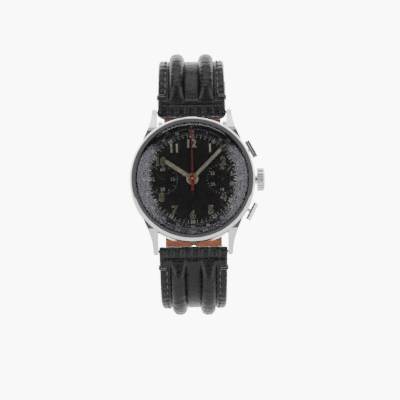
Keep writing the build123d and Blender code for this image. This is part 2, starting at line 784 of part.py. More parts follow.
def coupling_lever():
    """Lever that swings the coupling wheel about the fourth arbor."""
    place = intermediate_place()
    body = lever([(FOURTH, 0.65), (place, 0.45), ((-2.4, 6.6), 0.3)], 2.25, 2.45, 0.26)
    return body + at(place, disc(0.19, 2.35, 2.82))


def minute_counter_wheel():
    wheel = gear(30, 0.16, 2.85, 3.0, 6, arms=3) + heart(2.0, 2.4) + disc(0.45, 2.0, 3.0)
    return at(COUNTER, wheel + disc(PIVOT_R, 1.15, SUB_HAND_Z + 0.15))


def column_wheel():
    """Ratchet with six upright columns."""
    wheel = gear(12, 0.26, 2.75, 3.05)
    ring = Circle(1.35) - Circle(0.8)
    for column in range(6):
        ring -= Rot(0, 0, 60 * column) * Pos(1.1, 0) * Rectangle(1.2, 0.55)
    wheel += Pos(0, 0, 1.9) * extrude(ring, 0.95)
    return at(COLUMN, wheel - disc(0.35, 1, 4))


def push_lever(side):
    """Lever moved by a pusher, with a hook beyond the contact."""
    contact = polar((0, 0), PUSH_INNER_R - 0.5, radians(side * PUSH_ANGLE))
    stations = [((LEVER_X, side * LEVER_Y), 0.65), (contact, 0.45), ((11.3, side * 7.8), 0.25)]
    return lever(stations, 2.7, 3.1, 0.35)


def hammer():
    """Reset hammer with one flat face for each heart."""
    tilt = radians(5.0)
    far = -1.2 - HAMMER[0] * tilt
    near = -1.2 - (HAMMER[0] - COUNTER[0]) * tilt
    bar = Polyline((-0.7, far - 0.05), (9.3, near), (9.3, near - 0.9), (-0.7, far - 0.8), close=True)
    arm = capsule(HAMMER, 0.7, (8.8, near - 0.45), 0.42)
    face = make_face(bar) + arm - Pos(*HAMMER) * Circle(0.35)
    return Pos(0, 0, 2.05) * extrude(face, 0.3)


def brake_lever():
    return lever([(BRAKE, 0.55), ((1.95, -3.5), 0.2)], 2.6, 2.8, 0.33)


# ---- strap ----


def strap_curve(strap_reach):
    """Sampled loop of one strap half as (length, y, z), from its spring bar backwards."""
    power = 2 / STRAP_SQUARENESS
    start = (BAR_Y / strap_reach) ** (STRAP_SQUARENESS / 2)
    front = (BAR_Z - STRAP_CENTRE_Z) / (1 - start**2) ** (power / 2)
    rear = STRAP_CENTRE_Z - STRAP_BACK_Z
    first = atan2((1 - start**2) ** 0.5, start)
    samples = []
    length = 0.0
    for step in range(1601):
        angle = first - (first + 0.95 * pi) * step / 1600
        across = abs(cos(angle)) ** power * strap_reach
        depth = abs(sin(angle)) ** power
        y = across if cos(angle) > 0 else -across
        z = STRAP_CENTRE_Z + (front * depth if sin(angle) > 0 else -rear * depth)
        if samples:
            length += hypot(y - samples[-1][1], z - samples[-1][2])
        samples.append((length, y, z))
    return samples


CURVES = {1: strap_curve(STRAP_REACH_12), -1: strap_curve(STRAP_REACH_6)}


def curve_point(distance, side):
    """Point on a strap half's loop at a distance from its spring bar."""
    curve = CURVES[side]
    for low, high in zip(curve, curve[1:]):
        if high[0] >= distance:
            share = (distance - low[0]) / (high[0] - low[0])
            return low[1] + share * (high[1] - low[1]), low[2] + share * (high[2] - low[2])
    return curve[-1][1], curve[-1][2]


def strap_frame(distance, side):
    """Section plane across the strap: x across, y outward, z along the watch loop."""
    reach = 1.5
    y0, z0 = curve_point(max(distance - reach, 0.0), side)
    y1, z1 = curve_point(distance + reach, side)
    y, z = curve_point(distance, side)
    length = hypot(y1 - y0, z1 - z0)
    normal = (0, side * (z0 - z1) / length, (y1 - y0) / length)
    along = (0, -normal[2], normal[1])
    return Plane(origin=(0, side * y, z), x_dir=(1, 0, 0), z_dir=along)


def strap_width(distance, total, pointed):
    """Width at a distance, tapered and drawn to a point at a tail."""
    width = STRAP_WIDTH + (STRAP_END_WIDTH - STRAP_WIDTH) * min(distance / 60, 1)
    left = total - distance
    if pointed and left < 9:
        width *= 0.32 + 0.68 * (left / 9) ** 0.5
    return width


def ridge_height(distance, total):
    """Height of the two padded ridges at a distance."""
    rise = min(max((distance - 2.5) / 4, 0), 1)
    fall = min(max((min(total - 22, 50) - distance) / 12, 0), 1)
    return 0.05 + (RIDGE - 0.05) * min(rise, fall)


def upper_section(plane, width, ridge):
    """Outline of the upper leather with its two ridges."""
    scale = width / STRAP_WIDTH
    high = UPPER + ridge
    right = [(7.0, UPPER), (6.2, high), (2.9, high), (2.1, UPPER)]
    left = [(-x, y) for x, y in reversed(right)]
    ridges = [(x * scale, y) for x, y in right + left]
    points = [(-width / 2, 0), (width / 2, 0), (width / 2, UPPER)] + ridges + [(-width / 2, UPPER)]
    return plane * make_face(Polyline(*points, close=True))


def lining_section(plane, width):
    """Outline of the lining leather."""
    half = width / 2
    points = [(-half, -LINING), (half, -LINING), (half, -GLUE), (-half, -GLUE)]
    return plane * make_face(Polyline(*points, close=True))


def stations(first, total, pointed):
    """Distances at which the strap is sectioned."""
    inner = [first, 2.5, 4.5, 6.5]
    step = (total - 22 - 6.5) / 8
    inner += [6.5 + step * (i + 1) for i in range(8)]
    inner += [total - 16, total - 9]
    tail = [total - 6, total - 3, total - 1, total] if pointed else [total - 4, total]
    return inner + tail


def tail_holes(side):
    """Punched holes for the buckle tongue."""
    cutters = []
    for index in range(HOLE_COUNT):
        plane = strap_frame(LONG_LENGTH - FIRST_HOLE - index * HOLE_PITCH, side)
        across = Location(plane) * Rot(90, 0, 0)
        cutters.append(across * Cylinder(HOLE_R, 12))
    return cutters


def strap_upper(side, total, pointed):
    """Upper leather of one strap half, rolled round its spring bar."""
    sections = []
    for distance in stations(0.9, total, pointed):
        plane = strap_frame(distance, side)
        width = strap_width(distance, total, pointed)
        sections.append(upper_section(plane, width, ridge_height(distance, total)))
    body = loft(sections)
    bar = Pos(0, side * BAR_Y, BAR_Z) * Rot(0, 90, 0)
    body += bar * Cylinder(ROLL_R, STRAP_WIDTH)
    body -= bar * Cylinder(BAR_R + RUNNING, STRAP_WIDTH + 2)
    if pointed:
        return body - tail_holes(side)
    end = Location(strap_frame(total + 0.8, side)) * Rot(0, 90, 0)
    body += end * Cylinder(1.35, STRAP_END_WIDTH)
    body -= end * Cylinder(BUCKLE_BAR_R + RUNNING, STRAP_WIDTH + 2)
    slot = Location(strap_frame(total + 0.8, side)) * Box(3.0, 4.5, 4.2)
    return body - slot


def strap_lining(side, total, pointed):
    """Lining of one strap half, ending at the rolled upper leather."""
    sections = []
    for distance in stations(0.9, total, pointed):
        plane = strap_frame(distance, side)
        sections.append(lining_section(plane, strap_width(distance, total, pointed)))
    body = loft(sections)
    bar = Pos(0, side * BAR_Y, BAR_Z) * Rot(0, 90, 0)
    body -= bar * Cylinder(ROLL_R + GLUE, STRAP_WIDTH + 2)
    if pointed:
        return largest(body - tail_holes(side))
    end = Location(strap_frame(total + 0.8, side))
    body -= end * Rot(0, 90, 0) * Cylinder(1.35 + GLUE, STRAP_WIDTH + 2)
    return largest(body - end * Box(3.0, 4.5, 4.2))


def largest(shape):
    """Main solid of a cut piece, without slivers."""
    return max(shape.solids(), key=lambda solid: solid.volume)


def keeper(distance, inner_top):
    """Leather loop round the strap."""
    half = STRAP_END_WIDTH / 2 + 0.55
    bottom = -LINING - 0.45
    outer = Pos(0, (inner_top + bottom) / 2) * RectangleRounded(
        2 * half + 2.0, inner_top - bottom + 2.0, 0.9
    )
    inner = Pos(0, (inner_top + bottom) / 2) * Rectangle(2 * half, inner_top - bottom)
    body = extrude(outer - inner, KEEPER_WIDTH / 2, both=True)
    return Location(strap_frame(distance, 1)) * body


def buckle_frame():
    """U-shaped buckle whose arms hold the bar."""
    middle = BUCKLE_HALF_WIDTH - BUCKLE_ARM / 2
    body = Pos(0, 0, BUCKLE_LENGTH - 0.9) * Box(2 * BUCKLE_HALF_WIDTH, 1.7, 1.8)
    for side in (1, -1):
        arm = Pos(side * middle, 0, (BUCKLE_LENGTH - 1.6) / 2 - 0.6)
        body += arm * Box(BUCKLE_ARM, 1.7, BUCKLE_LENGTH + 0.4)
    body = fillet(body.edges().filter_by(Axis.X), 0.4)
    body -= Rot(0, 90, 0) * Cylinder(0.4, 2 * BUCKLE_HALF_WIDTH - 0.6)
    return buckle_place() * body


def buckle_place():
    """Frame on the buckle bar: z away from the strap's end, y outward."""
    return Location(strap_frame(SHORT_LENGTH + 0.8, 1)) * Rot(0, 180, 0)


def buckle_bar():
    bar = Cylinder(BUCKLE_BAR_R, 2 * (BUCKLE_HALF_WIDTH - BUCKLE_ARM) - 0.2)
    pins = Cylinder(0.38, 2 * BUCKLE_HALF_WIDTH - 1.0)
    return buckle_place() * Rot(0, 90, 0) * (bar + pins)


def buckle_tongue():
    """Prong rolled round the bar, resting on the frame."""
    roll = Rot(0, 90, 0) * Cylinder(1.2, 2.2)
    prong = Pos(0, 1.28, 4.7) * Box(1.5, 0.7, 9.0)
    body = roll + prong + Pos(0, 0.9, 0.2) * Box(2.2, 0.6, 1.2)
    body -= Rot(0, 90, 0) * Cylinder(BUCKLE_BAR_R + RUNNING, 4)
    return buckle_place() * body


PARTS = {
    "case_middle": case_middle,
    "bezel": bezel,
    "crystal": crystal,
    "case_back": case_back,
    "movement_ring": movement_ring,
    "crown_tube": crown_tube,
    "pusher_tubes": pusher_tubes,
    "crown": crown,
    "winding_stem": winding_stem,
    "pusher_start": lambda: pusher(PUSH_ANGLE),
    "pusher_reset": lambda: pusher(-PUSH_ANGLE),
    "spring_bars": spring_bars,
    "dial": dial,
    "hour_hand": hour_hand,
    "minute_hand": minute_hand,
    "chrono_hand": chrono_hand,
    "small_seconds_hand": small_seconds_hand,
    "counter_hand": counter_hand,
    "cannon_pinion": cannon_pinion,
    "minute_wheel": minute_wheel,
    "hour_wheel": hour_wheel,
    "main_plate": main_plate,
    "train_bridge": train_bridge,
    "barrel_bridge": barrel_bridge,
    "balance_cock": balance_cock,
    "pallet_bridge": pallet_bridge,
    "chrono_bridge": chrono_bridge,
    "barrel": barrel,
    "mainspring": mainspring,
    "barrel_arbor": barrel_arbor,
    "ratchet_wheel": ratchet_wheel,
    "crown_wheel": crown_wheel,
    "click": click,
    "centre_wheel": centre_wheel,
    "third_wheel": third_wheel,
    "fourth_wheel": fourth_wheel,
    "escape_wheel": escape_wheel,
    "pallet_fork": pallet_fork,
    "balance": balance,
    "hairspring": hairspring,
    "clutch": clutch,
    "winding_pinion": winding_pinion,
    "chrono_runner": chrono_runner,
    "coupling_wheel": coupling_wheel,
    "coupling_lever": coupling_lever,
    "minute_counter_wheel": minute_counter_wheel,
    "column_wheel": column_wheel,
    "operating_lever": lambda: push_lever(1),
    "reset_lever": lambda: push_lever(-1),
    "hammer": hammer,
    "brake_lever": brake_lever,
    "strap_12_upper": lambda: strap_upper(1, SHORT_LENGTH, False),
    "strap_12_lining": lambda: strap_lining(1, SHORT_LENGTH, False),
    "strap_6_upper": lambda: strap_upper(-1, LONG_LENGTH, True),
    "strap_6_lining": lambda: strap_lining(-1, LONG_LENGTH, True),
    "fixed_keeper": lambda: keeper(FIXED_KEEPER_S, UPPER + 2.9),
    "free_keeper": lambda: keeper(FREE_KEEPER_S, UPPER + 2.9),
    "buckle_frame": buckle_frame,
    "buckle_bar": buckle_bar,
    "buckle_tongue": buckle_tongue,
}


def main():
    """Turn every part to the shared frame and write it out."""
    os.makedirs("parts", exist_ok=True)
    for name, build in PARTS.items():
        shape = build()
        if isinstance(shape, list):
            solids = [Rot(90, 0, 0) * item for piece in shape for item in piece.solids()]
            shape = Compound(solids)
        else:
            shape = Rot(90, 0, 0) * shape
        export_step(shape, f"parts/{name}.step")


if __name__ == "__main__":
    main()
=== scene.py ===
"""Looks of the chronograph wristwatch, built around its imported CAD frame.

Lengths are written in millimetres of the watch frame (x to 3 o'clock, y to
12 o'clock, z towards the crystal) and turned to the row frame, in metres.
"""

import json
import math

import bmesh
import bpy
from mathutils import Matrix, Vector, noise


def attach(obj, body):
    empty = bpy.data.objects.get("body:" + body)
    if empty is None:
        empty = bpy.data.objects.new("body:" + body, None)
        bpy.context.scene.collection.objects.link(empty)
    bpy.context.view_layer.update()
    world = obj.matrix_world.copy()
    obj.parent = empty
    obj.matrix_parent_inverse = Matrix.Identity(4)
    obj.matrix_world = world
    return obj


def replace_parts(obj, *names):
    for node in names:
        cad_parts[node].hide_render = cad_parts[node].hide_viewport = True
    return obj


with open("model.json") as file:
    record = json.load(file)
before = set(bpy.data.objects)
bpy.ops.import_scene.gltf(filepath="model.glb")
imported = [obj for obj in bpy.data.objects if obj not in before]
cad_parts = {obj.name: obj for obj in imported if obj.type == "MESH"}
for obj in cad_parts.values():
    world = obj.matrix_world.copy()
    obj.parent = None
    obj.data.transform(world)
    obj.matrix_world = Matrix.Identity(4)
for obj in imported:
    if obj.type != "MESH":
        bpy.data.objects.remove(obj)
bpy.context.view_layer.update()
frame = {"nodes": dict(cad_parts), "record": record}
nodes = frame["nodes"]

# ---- sizes shared with the CAD, in mm ----
DIAL_Z = 8.4
COUNTER_Z = DIAL_Z - 0.1
GLASS_R = 16.15
GLASS_INNER_R = 15.75
GLASS_FOOT = 9.05
GLASS_EDGE = 10.0
GLASS_FLAT_R = 11.2
GLASS_SHOULDER = 1.1
GLASS_DOME = 0.3
GLASS_WALL = 0.8
SUBDIAL_X = 8.5
HOUR_Z = 8.95
MINUTE_Z = 9.35
CHRONO_Z = 9.75
SUB_HAND_Z = 8.6
HAND_THICK = 0.15
HOUR_ANGLE = 303.7
MINUTE_ANGLE = 44.6
SMALL_SECONDS_ANGLE = 270.0
COUNTER_ANGLE = 0.0
BAR_Y = 20.2
BAR_Z = 2.0
REACH = {1: 36.2, -1: 33.8}
CENTRE_Z = -13.0
BACK_Z = -55.5
SQUARENESS = 2.7
STRAP_WIDTH = 19.7
END_WIDTH = 17.8
LINING = 0.9
UPPER = 1.4
RIDGE = 2.0
SHORT = 64.0
LONG = 96.0
ROLL_R = 1.5
END_ROLL_R = 1.35
HOLE_R = 0.9
HOLE_PITCH = 6.0
HOLE_COUNT = 7
FIRST_HOLE = 18.0
KEEPER_WIDTH = 4.0
FIXED_KEEPER_S = 58.5
FREE_KEEPER_S = 51.5

# ---- sizes of the visual model only, in mm ----
PRINT = 0.015
PRINT_LIFT = 0.004
ROLL_BORE = 0.82
END_ROLL_BORE = 0.66
FOLD_S = {1: 2.0, -1: 1.9}
RIDGE_X = 4.35
RIDGE_SPREAD = 2.42
STITCH_INSET = 2.1
STITCH_PITCH = 2.02
STITCH_LENGTH = 1.45
STITCH_START = 5.2
TACK_S = 4.6
TACK_R = 0.2

# ---- studio, in metres and degrees ----
FLOOR_Z = -0.112
SOFT_BOX = (0.75, 1.0)
SOFT_LEVEL = 3.0
LENS = 189.5
CAMERA_DISTANCE = 0.6
CAMERA_TILT = 6.5
CAMERA_ROLL = -0.75


def place(x, y, z):
    """Watch frame in mm to row frame in metres."""
    return Vector((x / 1000, -z / 1000, y / 1000))


def clamp(value, low=0.0, high=1.0):
    return max(low, min(high, value))


def ramp(value, low, high):
    """Smooth step from 0 at low to 1 at high."""
    t = clamp((value - low) / (high - low))
    return t * t * (3 - 2 * t)


# ---- mesh building ----


class Solid:
    """Collects vertices and faces in watch millimetres and makes one object."""

    def __init__(self):
        self.points = []
        self.faces = []

    def add(self, points, faces):
        base = len(self.points)
        self.points += points
        self.faces += [[base + i for i in face] for face in faces]

    def prism(self, outline, z0, z1):
        """Flat plate from an anticlockwise outline."""
        count = len(outline)
        points = [(x, y, z0) for x, y in outline] + [(x, y, z1) for x, y in outline]
        faces = [list(range(count))[::-1], list(range(count, 2 * count))]
        for i in range(count):
            j = (i + 1) % count
            faces.append([i, j, count + j, count + i])
        self.add(points, faces)

    def grid(self, rows, closed=False):
        """Surface through rows of points."""
        across = len(rows[0])
        points = [p for row in rows for p in row]
        faces = []
        for r in range(len(rows) - 1):
            for c in range(across if closed else across - 1):
                d = (c + 1) % across
                faces.append([r * across + c, r * across + d, (r + 1) * across + d, (r + 1) * across + c])
        self.add(points, faces)

    def shell(self, top, bottom):
        """Closed sheet between two grids of the same size."""
        rows, across = len(top), len(top[0])
        points = [p for row in top for p in row] + [p for row in bottom for p in row]
        under = rows * across
        faces = []
        for r in range(rows - 1):
            for c in range(across - 1):
                a, b = r * across + c, r * across + c + 1
                d, e = a + across, b + across
                faces.append([a, b, e, d])
                faces.append([under + a, under + d, under + e, under + b])
        for r in range(rows - 1):
            for c, flip in ((0, False), (across - 1, True)):
                a, d = r * across + c, (r + 1) * across + c
                face = [a, d, under + d, under + a]
                faces.append(face[::-1] if flip else face)
        for c in range(across - 1):
            for r, flip in ((0, True), (rows - 1, False)):
                a, b = r * across + c, r * across + c + 1
                face = [a, b, under + b, under + a]
                faces.append(face[::-1] if flip else face)
        self.add(points, faces)

    def make(self, name, material, smooth=40.0, body=None, slot=None):
        mesh = bpy.data.meshes.new(name)
        mesh.from_pydata([place(*p) for p in self.points], [], self.faces)
        mesh.materials.append(material)
        work = bmesh.new()
        work.from_mesh(mesh)
        bmesh.ops.remove_doubles(work, verts=work.verts, dist=1e-7)
        bmesh.ops.recalc_face_normals(work, faces=work.faces)
        work.to_mesh(mesh)
        work.free()
        mesh.shade_smooth()
        mesh.set_sharp_from_angle(angle=math.radians(smooth))
        obj = bpy.data.objects.new(name, mesh)
        bpy.context.scene.collection.objects.link(obj)
        if body:
            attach(obj, body)
        return obj


def ring_shape(solid, r0, r1, z0, z1, centre=(0, 0), start=0.0, end=360.0, steps=180):
    """Flat ring or arc with square edges."""
    full = end - start >= 360
    count = steps if full else max(2, int(steps * (end - start) / 360))
    rows = []
    for i in range(count + (0 if full else 1)):
        a = math.radians(start + (end - start) * i / count)
        c, s = math.cos(a), math.sin(a)
        corners = ((r0, z0), (r1, z0), (r1, z1), (r0, z1))
        rows.append([(centre[0] + r * c, centre[1] + r * s, z) for r, z in corners])
    if full:
        rows.append(rows[0])
    solid.grid(rows, closed=True)
    if not full:
        for row, flip in ((rows[0], False), (rows[-1], True)):
            solid.add(row[::-1] if flip else row, [[0, 1, 2, 3]])


def lathe(solid, profile, centre=(0, 0), steps=96):
    """Closed profile of (r, z) turned about a vertical axis."""
    rows = []
    for i in range(steps + 1):
        a = 2 * math.pi * i / steps
        rows.append([(centre[0] + r * math.cos(a), centre[1] + r * math.sin(a), z) for r, z in profile])
    solid.grid(rows, closed=True)


def tube(solid, rings):
    """Closed tube through rings of points, with flat ends."""
    solid.grid(rings, closed=True)
    count = len(rings[0])
    solid.add(rings[0], [list(range(count))[::-1]])
    solid.add(rings[-1], [list(range(count))])


def arc_points(start, middle, end, count):
    """Points along the circle through three points."""
    ax, ay, bx, by, cx, cy = *start, *middle, *end
    d = 2 * (ax * (by - cy) + bx * (cy - ay) + cx * (ay - by))
    a2, b2, c2 = ax * ax + ay * ay, bx * bx + by * by, cx * cx + cy * cy
    ux = (a2 * (by - cy) + b2 * (cy - ay) + c2 * (ay - by)) / d
    uy = (a2 * (cx - bx) + b2 * (ax - cx) + c2 * (bx - ax)) / d
    radius = math.hypot(ax - ux, ay - uy)
    first = math.atan2(ay - uy, ax - ux)
    sweep = math.remainder(math.atan2(cy - uy, cx - ux) - first, 2 * math.pi)
    turns = [first + sweep * i / count for i in range(count + 1)]
    return [(ux + radius * math.cos(a), uy + radius * math.sin(a)) for a in turns]


def clock(radius, angle, centre=(0, 0)):
    """Point at a clockwise angle from 12 o'clock."""
    a = math.radians(angle)
    return centre[0] + radius * math.sin(a), centre[1] + radius * math.cos(a)


def tick(solid, angle, r0, r1, width, z, centre=(0, 0)):
    """Printed radial line."""
    a = math.radians(angle)
    along, across = (math.sin(a), math.cos(a)), (math.cos(a), -math.sin(a))
    corners = []
    for r, side in ((r0, 1), (r0, -1), (r1, -1), (r1, 1)):
        corners.append((
            centre[0] + along[0] * r + across[0] * side * width / 2,
            centre[1] + along[1] * r + across[1] * side * width / 2,
        ))
    solid.prism(corners[::-1], z, z + PRINT)


def dot(solid, angle, radius, size, z, centre=(0, 0)):
    """Printed round dot."""
    cx, cy = clock(radius, angle, centre)
    turns = [k * math.pi / 5 for k in range(10)]
    outline = [(cx + size * math.cos(a), cy + size * math.sin(a)) for a in turns]
    solid.prism(outline, z, z + PRINT)


GLYPHS = {}
DIGIT_HEIGHT = 0.73


def glyph(text, heavy):
    """Outline of a numeral as flat points and faces, centred, one unit tall."""
    key = (text, heavy)
    if key not in GLYPHS:
        curve = bpy.data.curves.new("numeral", "FONT")
        curve.body = text
        curve.offset = heavy
        curve.extrude = 0.01
        curve.space_character = 1.0 + 1.5 * heavy
        obj = bpy.data.objects.new("numeral", curve)
        mesh = bpy.data.meshes.new_from_object(obj)
        xs = [v.co.x for v in mesh.vertices]
        ys = [v.co.y for v in mesh.vertices]
        x0, y0 = (min(xs) + max(xs)) / 2, (min(ys) + max(ys)) / 2
        points = []
        for v in mesh.vertices:
            top = 1 if v.co.z > 0 else 0
            points.append(((v.co.x - x0) / DIGIT_HEIGHT, (v.co.y - y0) / DIGIT_HEIGHT, top))
        GLYPHS[key] = (points, [list(p.vertices) for p in mesh.polygons])
        bpy.data.objects.remove(obj)
        bpy.data.curves.remove(curve)
        bpy.data.meshes.remove(mesh)
    return GLYPHS[key]


def write(solid, text, height, x, y, z, turn=0.0, heavy=0.0, narrow=1.0, thick=PRINT):
    """Numeral laid on the dial, turned clockwise."""
    points, faces = glyph(text, heavy)
    a = math.radians(-turn)
    placed = []
    for px, py, top in points:
        px, py = px * height * narrow, py * height
        placed.append((
            x + px * math.cos(a) - py * math.sin(a),
            y + px * math.sin(a) + py * math.cos(a),
            z + thick * top,
        ))
    solid.add(placed, faces)


# ---- materials ----


def new_material(name):
    material = bpy.data.materials.new(name)
    material.use_nodes = True
    tree = material.node_tree
    tree.nodes.clear()
    out = tree.nodes.new("ShaderNodeOutputMaterial")
    shader = tree.nodes.new("ShaderNodeBsdfPrincipled")
    tree.links.new(shader.outputs[0], out.inputs[0])
    return material, tree, shader


def coordinates(tree, stretch=(1, 1, 1)):
    """Object coordinates in millimetres."""
    where = tree.nodes.new("ShaderNodeTexCoord")
    scale = tree.nodes.new("ShaderNodeMapping")
    scale.inputs["Scale"].default_value = [1000 * s for s in stretch]
    tree.links.new(where.outputs["Object"], scale.inputs["Vector"])
    return scale.outputs[0]


def pattern(tree, vector, scale, detail=3.0, rough=0.55):
    node = tree.nodes.new("ShaderNodeTexNoise")
    node.inputs["Scale"].default_value = scale
    node.inputs["Detail"].default_value = detail
    node.inputs["Roughness"].default_value = rough
    tree.links.new(vector, node.inputs["Vector"])
    return node.outputs["Fac"]


def remap(tree, value, low, high, start=0.3, end=0.7):
    node = tree.nodes.new("ShaderNodeMapRange")
    node.inputs["From Min"].default_value = start
    node.inputs["From Max"].default_value = end
    node.inputs["To Min"].default_value = low
    node.inputs["To Max"].default_value = high
    tree.links.new(value, node.inputs["Value"])
    return node.outputs[0]


def blend_colours(tree, factor, dark, light):
    node = tree.nodes.new("ShaderNodeMix")
    node.data_type = "RGBA"
    node.inputs["A"].default_value = (*dark, 1)
    node.inputs["B"].default_value = (*light, 1)
    tree.links.new(factor, node.inputs["Factor"])
    return node.outputs["Result"]


def bump(tree, height, distance, strength=1.0, normal=None):
    """Bump of a real height, in millimetres."""
    node = tree.nodes.new("ShaderNodeBump")
    node.inputs["Distance"].default_value = distance / 1000
    node.inputs["Strength"].default_value = strength
    tree.links.new(height, node.inputs["Height"])
    if normal:
        tree.links.new(normal, node.inputs["Normal"])
    return node.outputs[0]


def surface(
    name, dark, light, rough, metallic=0.0, scale=0.6, grain=8.0, depth=0.01, stretch=(1, 1, 1), coat=0.0
):
    """Finish with colour drift, uneven gloss and a fine grain."""
    material, tree, shader = new_material(name)
    vector = coordinates(tree, stretch)
    drift = pattern(tree, vector, scale)
    fine = pattern(tree, vector, grain, 5.0)
    mix = remap(tree, drift, 0, 1)
    tree.links.new(blend_colours(tree, mix, dark, light), shader.inputs["Base Color"])
    tree.links.new(remap(tree, fine, *rough), shader.inputs["Roughness"])
    tree.links.new(bump(tree, fine, depth), shader.inputs["Normal"])
    shader.inputs["Metallic"].default_value = metallic
    shader.inputs["Coat Weight"].default_value = coat
    return material


def leather(name, dark, light, rough, grain=2.6, depth=0.05, crease=0.05, gloss=0.5):
    """Leather with pebbled grain and fine creases across the strap."""
    material, tree, shader = new_material(name)
    vector = coordinates(tree)
    drift = pattern(tree, vector, 0.35, 4.0)
    cells = tree.nodes.new("ShaderNodeTexVoronoi")
    cells.feature = "DISTANCE_TO_EDGE"
    cells.inputs["Scale"].default_value = grain
    tree.links.new(vector, cells.inputs["Vector"])
    pebble = remap(tree, cells.outputs["Distance"], 0, 1, 0.0, 0.22)
    fold = pattern(tree, coordinates(tree, (0.25, 1.4, 1.4)), 1.6, 5.0, 0.6)
    tree.links.new(blend_colours(tree, remap(tree, drift, 0, 1), dark, light), shader.inputs["Base Color"])
    tree.links.new(remap(tree, fold, *rough), shader.inputs["Roughness"])
    first = bump(tree, pebble, depth, 0.5)
    tree.links.new(bump(tree, fold, crease, 1.0, first), shader.inputs["Normal"])
    shader.inputs["Specular IOR Level"].default_value = gloss
    return material


def dial_paint():
    """Matt black lacquer, browner at the middle, finely speckled."""
    material, tree, shader = new_material("dial_lacquer")
    vector = coordinates(tree)
    flat = tree.nodes.new("ShaderNodeVectorMath")
    flat.operation = "MULTIPLY"
    flat.inputs[1].default_value = (1, 0, 1)
    tree.links.new(vector, flat.inputs[0])
    radius = tree.nodes.new("ShaderNodeVectorMath")
    radius.operation = "LENGTH"
    tree.links.new(flat.outputs[0], radius.inputs[0])
    edge = remap(tree, radius.outputs["Value"], 0, 1, 9.0, 13.0)
    speck = pattern(tree, vector, 6.0, 6.0, 0.7)
    brown = blend_colours(tree, remap(tree, speck, 0, 1), (0.0085, 0.0058, 0.0048), (0.0145, 0.0102, 0.0085))
    grey = blend_colours(tree, remap(tree, speck, 0, 1), (0.007, 0.007, 0.007), (0.014, 0.0135, 0.013))
    mix = tree.nodes.new("ShaderNodeMix")
    mix.data_type = "RGBA"
    tree.links.new(edge, mix.inputs["Factor"])
    tree.links.new(brown, mix.inputs["A"])
    tree.links.new(grey, mix.inputs["B"])
    tree.links.new(mix.outputs["Result"], shader.inputs["Base Color"])
    tree.links.new(remap(tree, speck, 0.5, 0.62), shader.inputs["Roughness"])
    tree.links.new(bump(tree, speck, 0.004), shader.inputs["Normal"])
    shader.inputs["Specular IOR Level"].default_value = 0.3
    return material


# Rays that reflect are picked this many times too often and dimmed as much, which leaves less noise.
# The glass then lets a little less light through than real acrylic, and mirrors less at grazing angles.
GLASS_PICKS = 3.0


def glass_material():
    """Clear acrylic that mirrors its surroundings at its shoulder, with faint scuffs."""
    material = bpy.data.materials.new("acrylic_glass")
    material.use_nodes = True
    tree = material.node_tree
    tree.nodes.clear()
    out = tree.nodes.new("ShaderNodeOutputMaterial")
    mix = tree.nodes.new("ShaderNodeMixShader")
    clear = tree.nodes.new("ShaderNodeBsdfTransparent")
    clear.inputs["Color"].default_value = (0.985, 0.985, 0.99, 1)
    gloss = tree.nodes.new("ShaderNodeBsdfGlossy")
    gloss.inputs["Color"].default_value = (0.66 / GLASS_PICKS, 0.63 / GLASS_PICKS, 0.71 / GLASS_PICKS, 1)
    picks = tree.nodes.new("ShaderNodeMath")
    picks.operation = "MULTIPLY"
    picks.use_clamp = True
    picks.inputs[1].default_value = GLASS_PICKS
    fresnel = tree.nodes.new("ShaderNodeFresnel")
    fresnel.inputs["IOR"].default_value = 1.49
    scuff = pattern(tree, coordinates(tree), 3.0, 6.0, 0.7)
    tree.links.new(remap(tree, scuff, 0.10, 0.15), gloss.inputs["Roughness"])
    tree.links.new(fresnel.outputs[0], picks.inputs[0])
    tree.links.new(picks.outputs[0], mix.inputs[0])
    tree.links.new(clear.outputs[0], mix.inputs[1])
    tree.links.new(gloss.outputs[0], mix.inputs[2])
    tree.links.new(mix.outputs[0], out.inputs[0])
    return material


polished = surface(
    "polished_steel", (0.70, 0.70, 0.72), (0.82, 0.82, 0.83), (0.06, 0.14),
    metallic=1.0, scale=0.5, grain=14.0, depth=0.0015,
)
case_metal = surface(
    "case_steel", (0.62, 0.62, 0.64), (0.76, 0.76, 0.77), (0.12, 0.24),
    metallic=1.0, scale=0.5, grain=12.0, depth=0.002,
)
back_metal = surface(
    "back_steel", (0.55, 0.55, 0.57), (0.68, 0.68, 0.69), (0.22, 0.38),
    metallic=1.0, scale=0.4, grain=6.0, depth=0.003, stretch=(1, 1, 8),
)
nickel = surface(
    "nickelled_brass", (0.58, 0.55, 0.48), (0.70, 0.67, 0.60), (0.25, 0.4),
    metallic=1.0, scale=0.8, grain=10.0, depth=0.003,
)
brass = surface(
    "polished_brass", (0.62, 0.46, 0.20), (0.78, 0.60, 0.30), (0.18, 0.3),
    metallic=1.0, scale=0.8, grain=10.0, depth=0.002,
)
grey_steel = surface(
    "hardened_steel", (0.42, 0.43, 0.46), (0.56, 0.57, 0.60), (0.15, 0.3),
    metallic=1.0, scale=0.8, grain=12.0, depth=0.002,
)
black_leather = leather(
    "black_calf", (0.0030, 0.0032, 0.0037), (0.0080, 0.0083, 0.0095), (0.20, 0.34),
    grain=3.0, depth=0.03, crease=0.035, gloss=0.32,
)
tan_leather = leather(
    "tan_lining", (0.13, 0.036, 0.012), (0.25, 0.075, 0.026), (0.6, 0.8),
    grain=3.4, depth=0.03, crease=0.03,
)
thread_grey = surface(
    "thread_grey", (0.035, 0.036, 0.038), (0.10, 0.10, 0.10), (0.42, 0.6),
    scale=2.0, grain=9.0, depth=0.03,
)
lacquer = dial_paint()
print_grey = surface(
    "print_grey", (0.30, 0.31, 0.31), (0.50, 0.52, 0.50), (0.5, 0.7),
    scale=2.0, grain=9.0, depth=0.002,
)
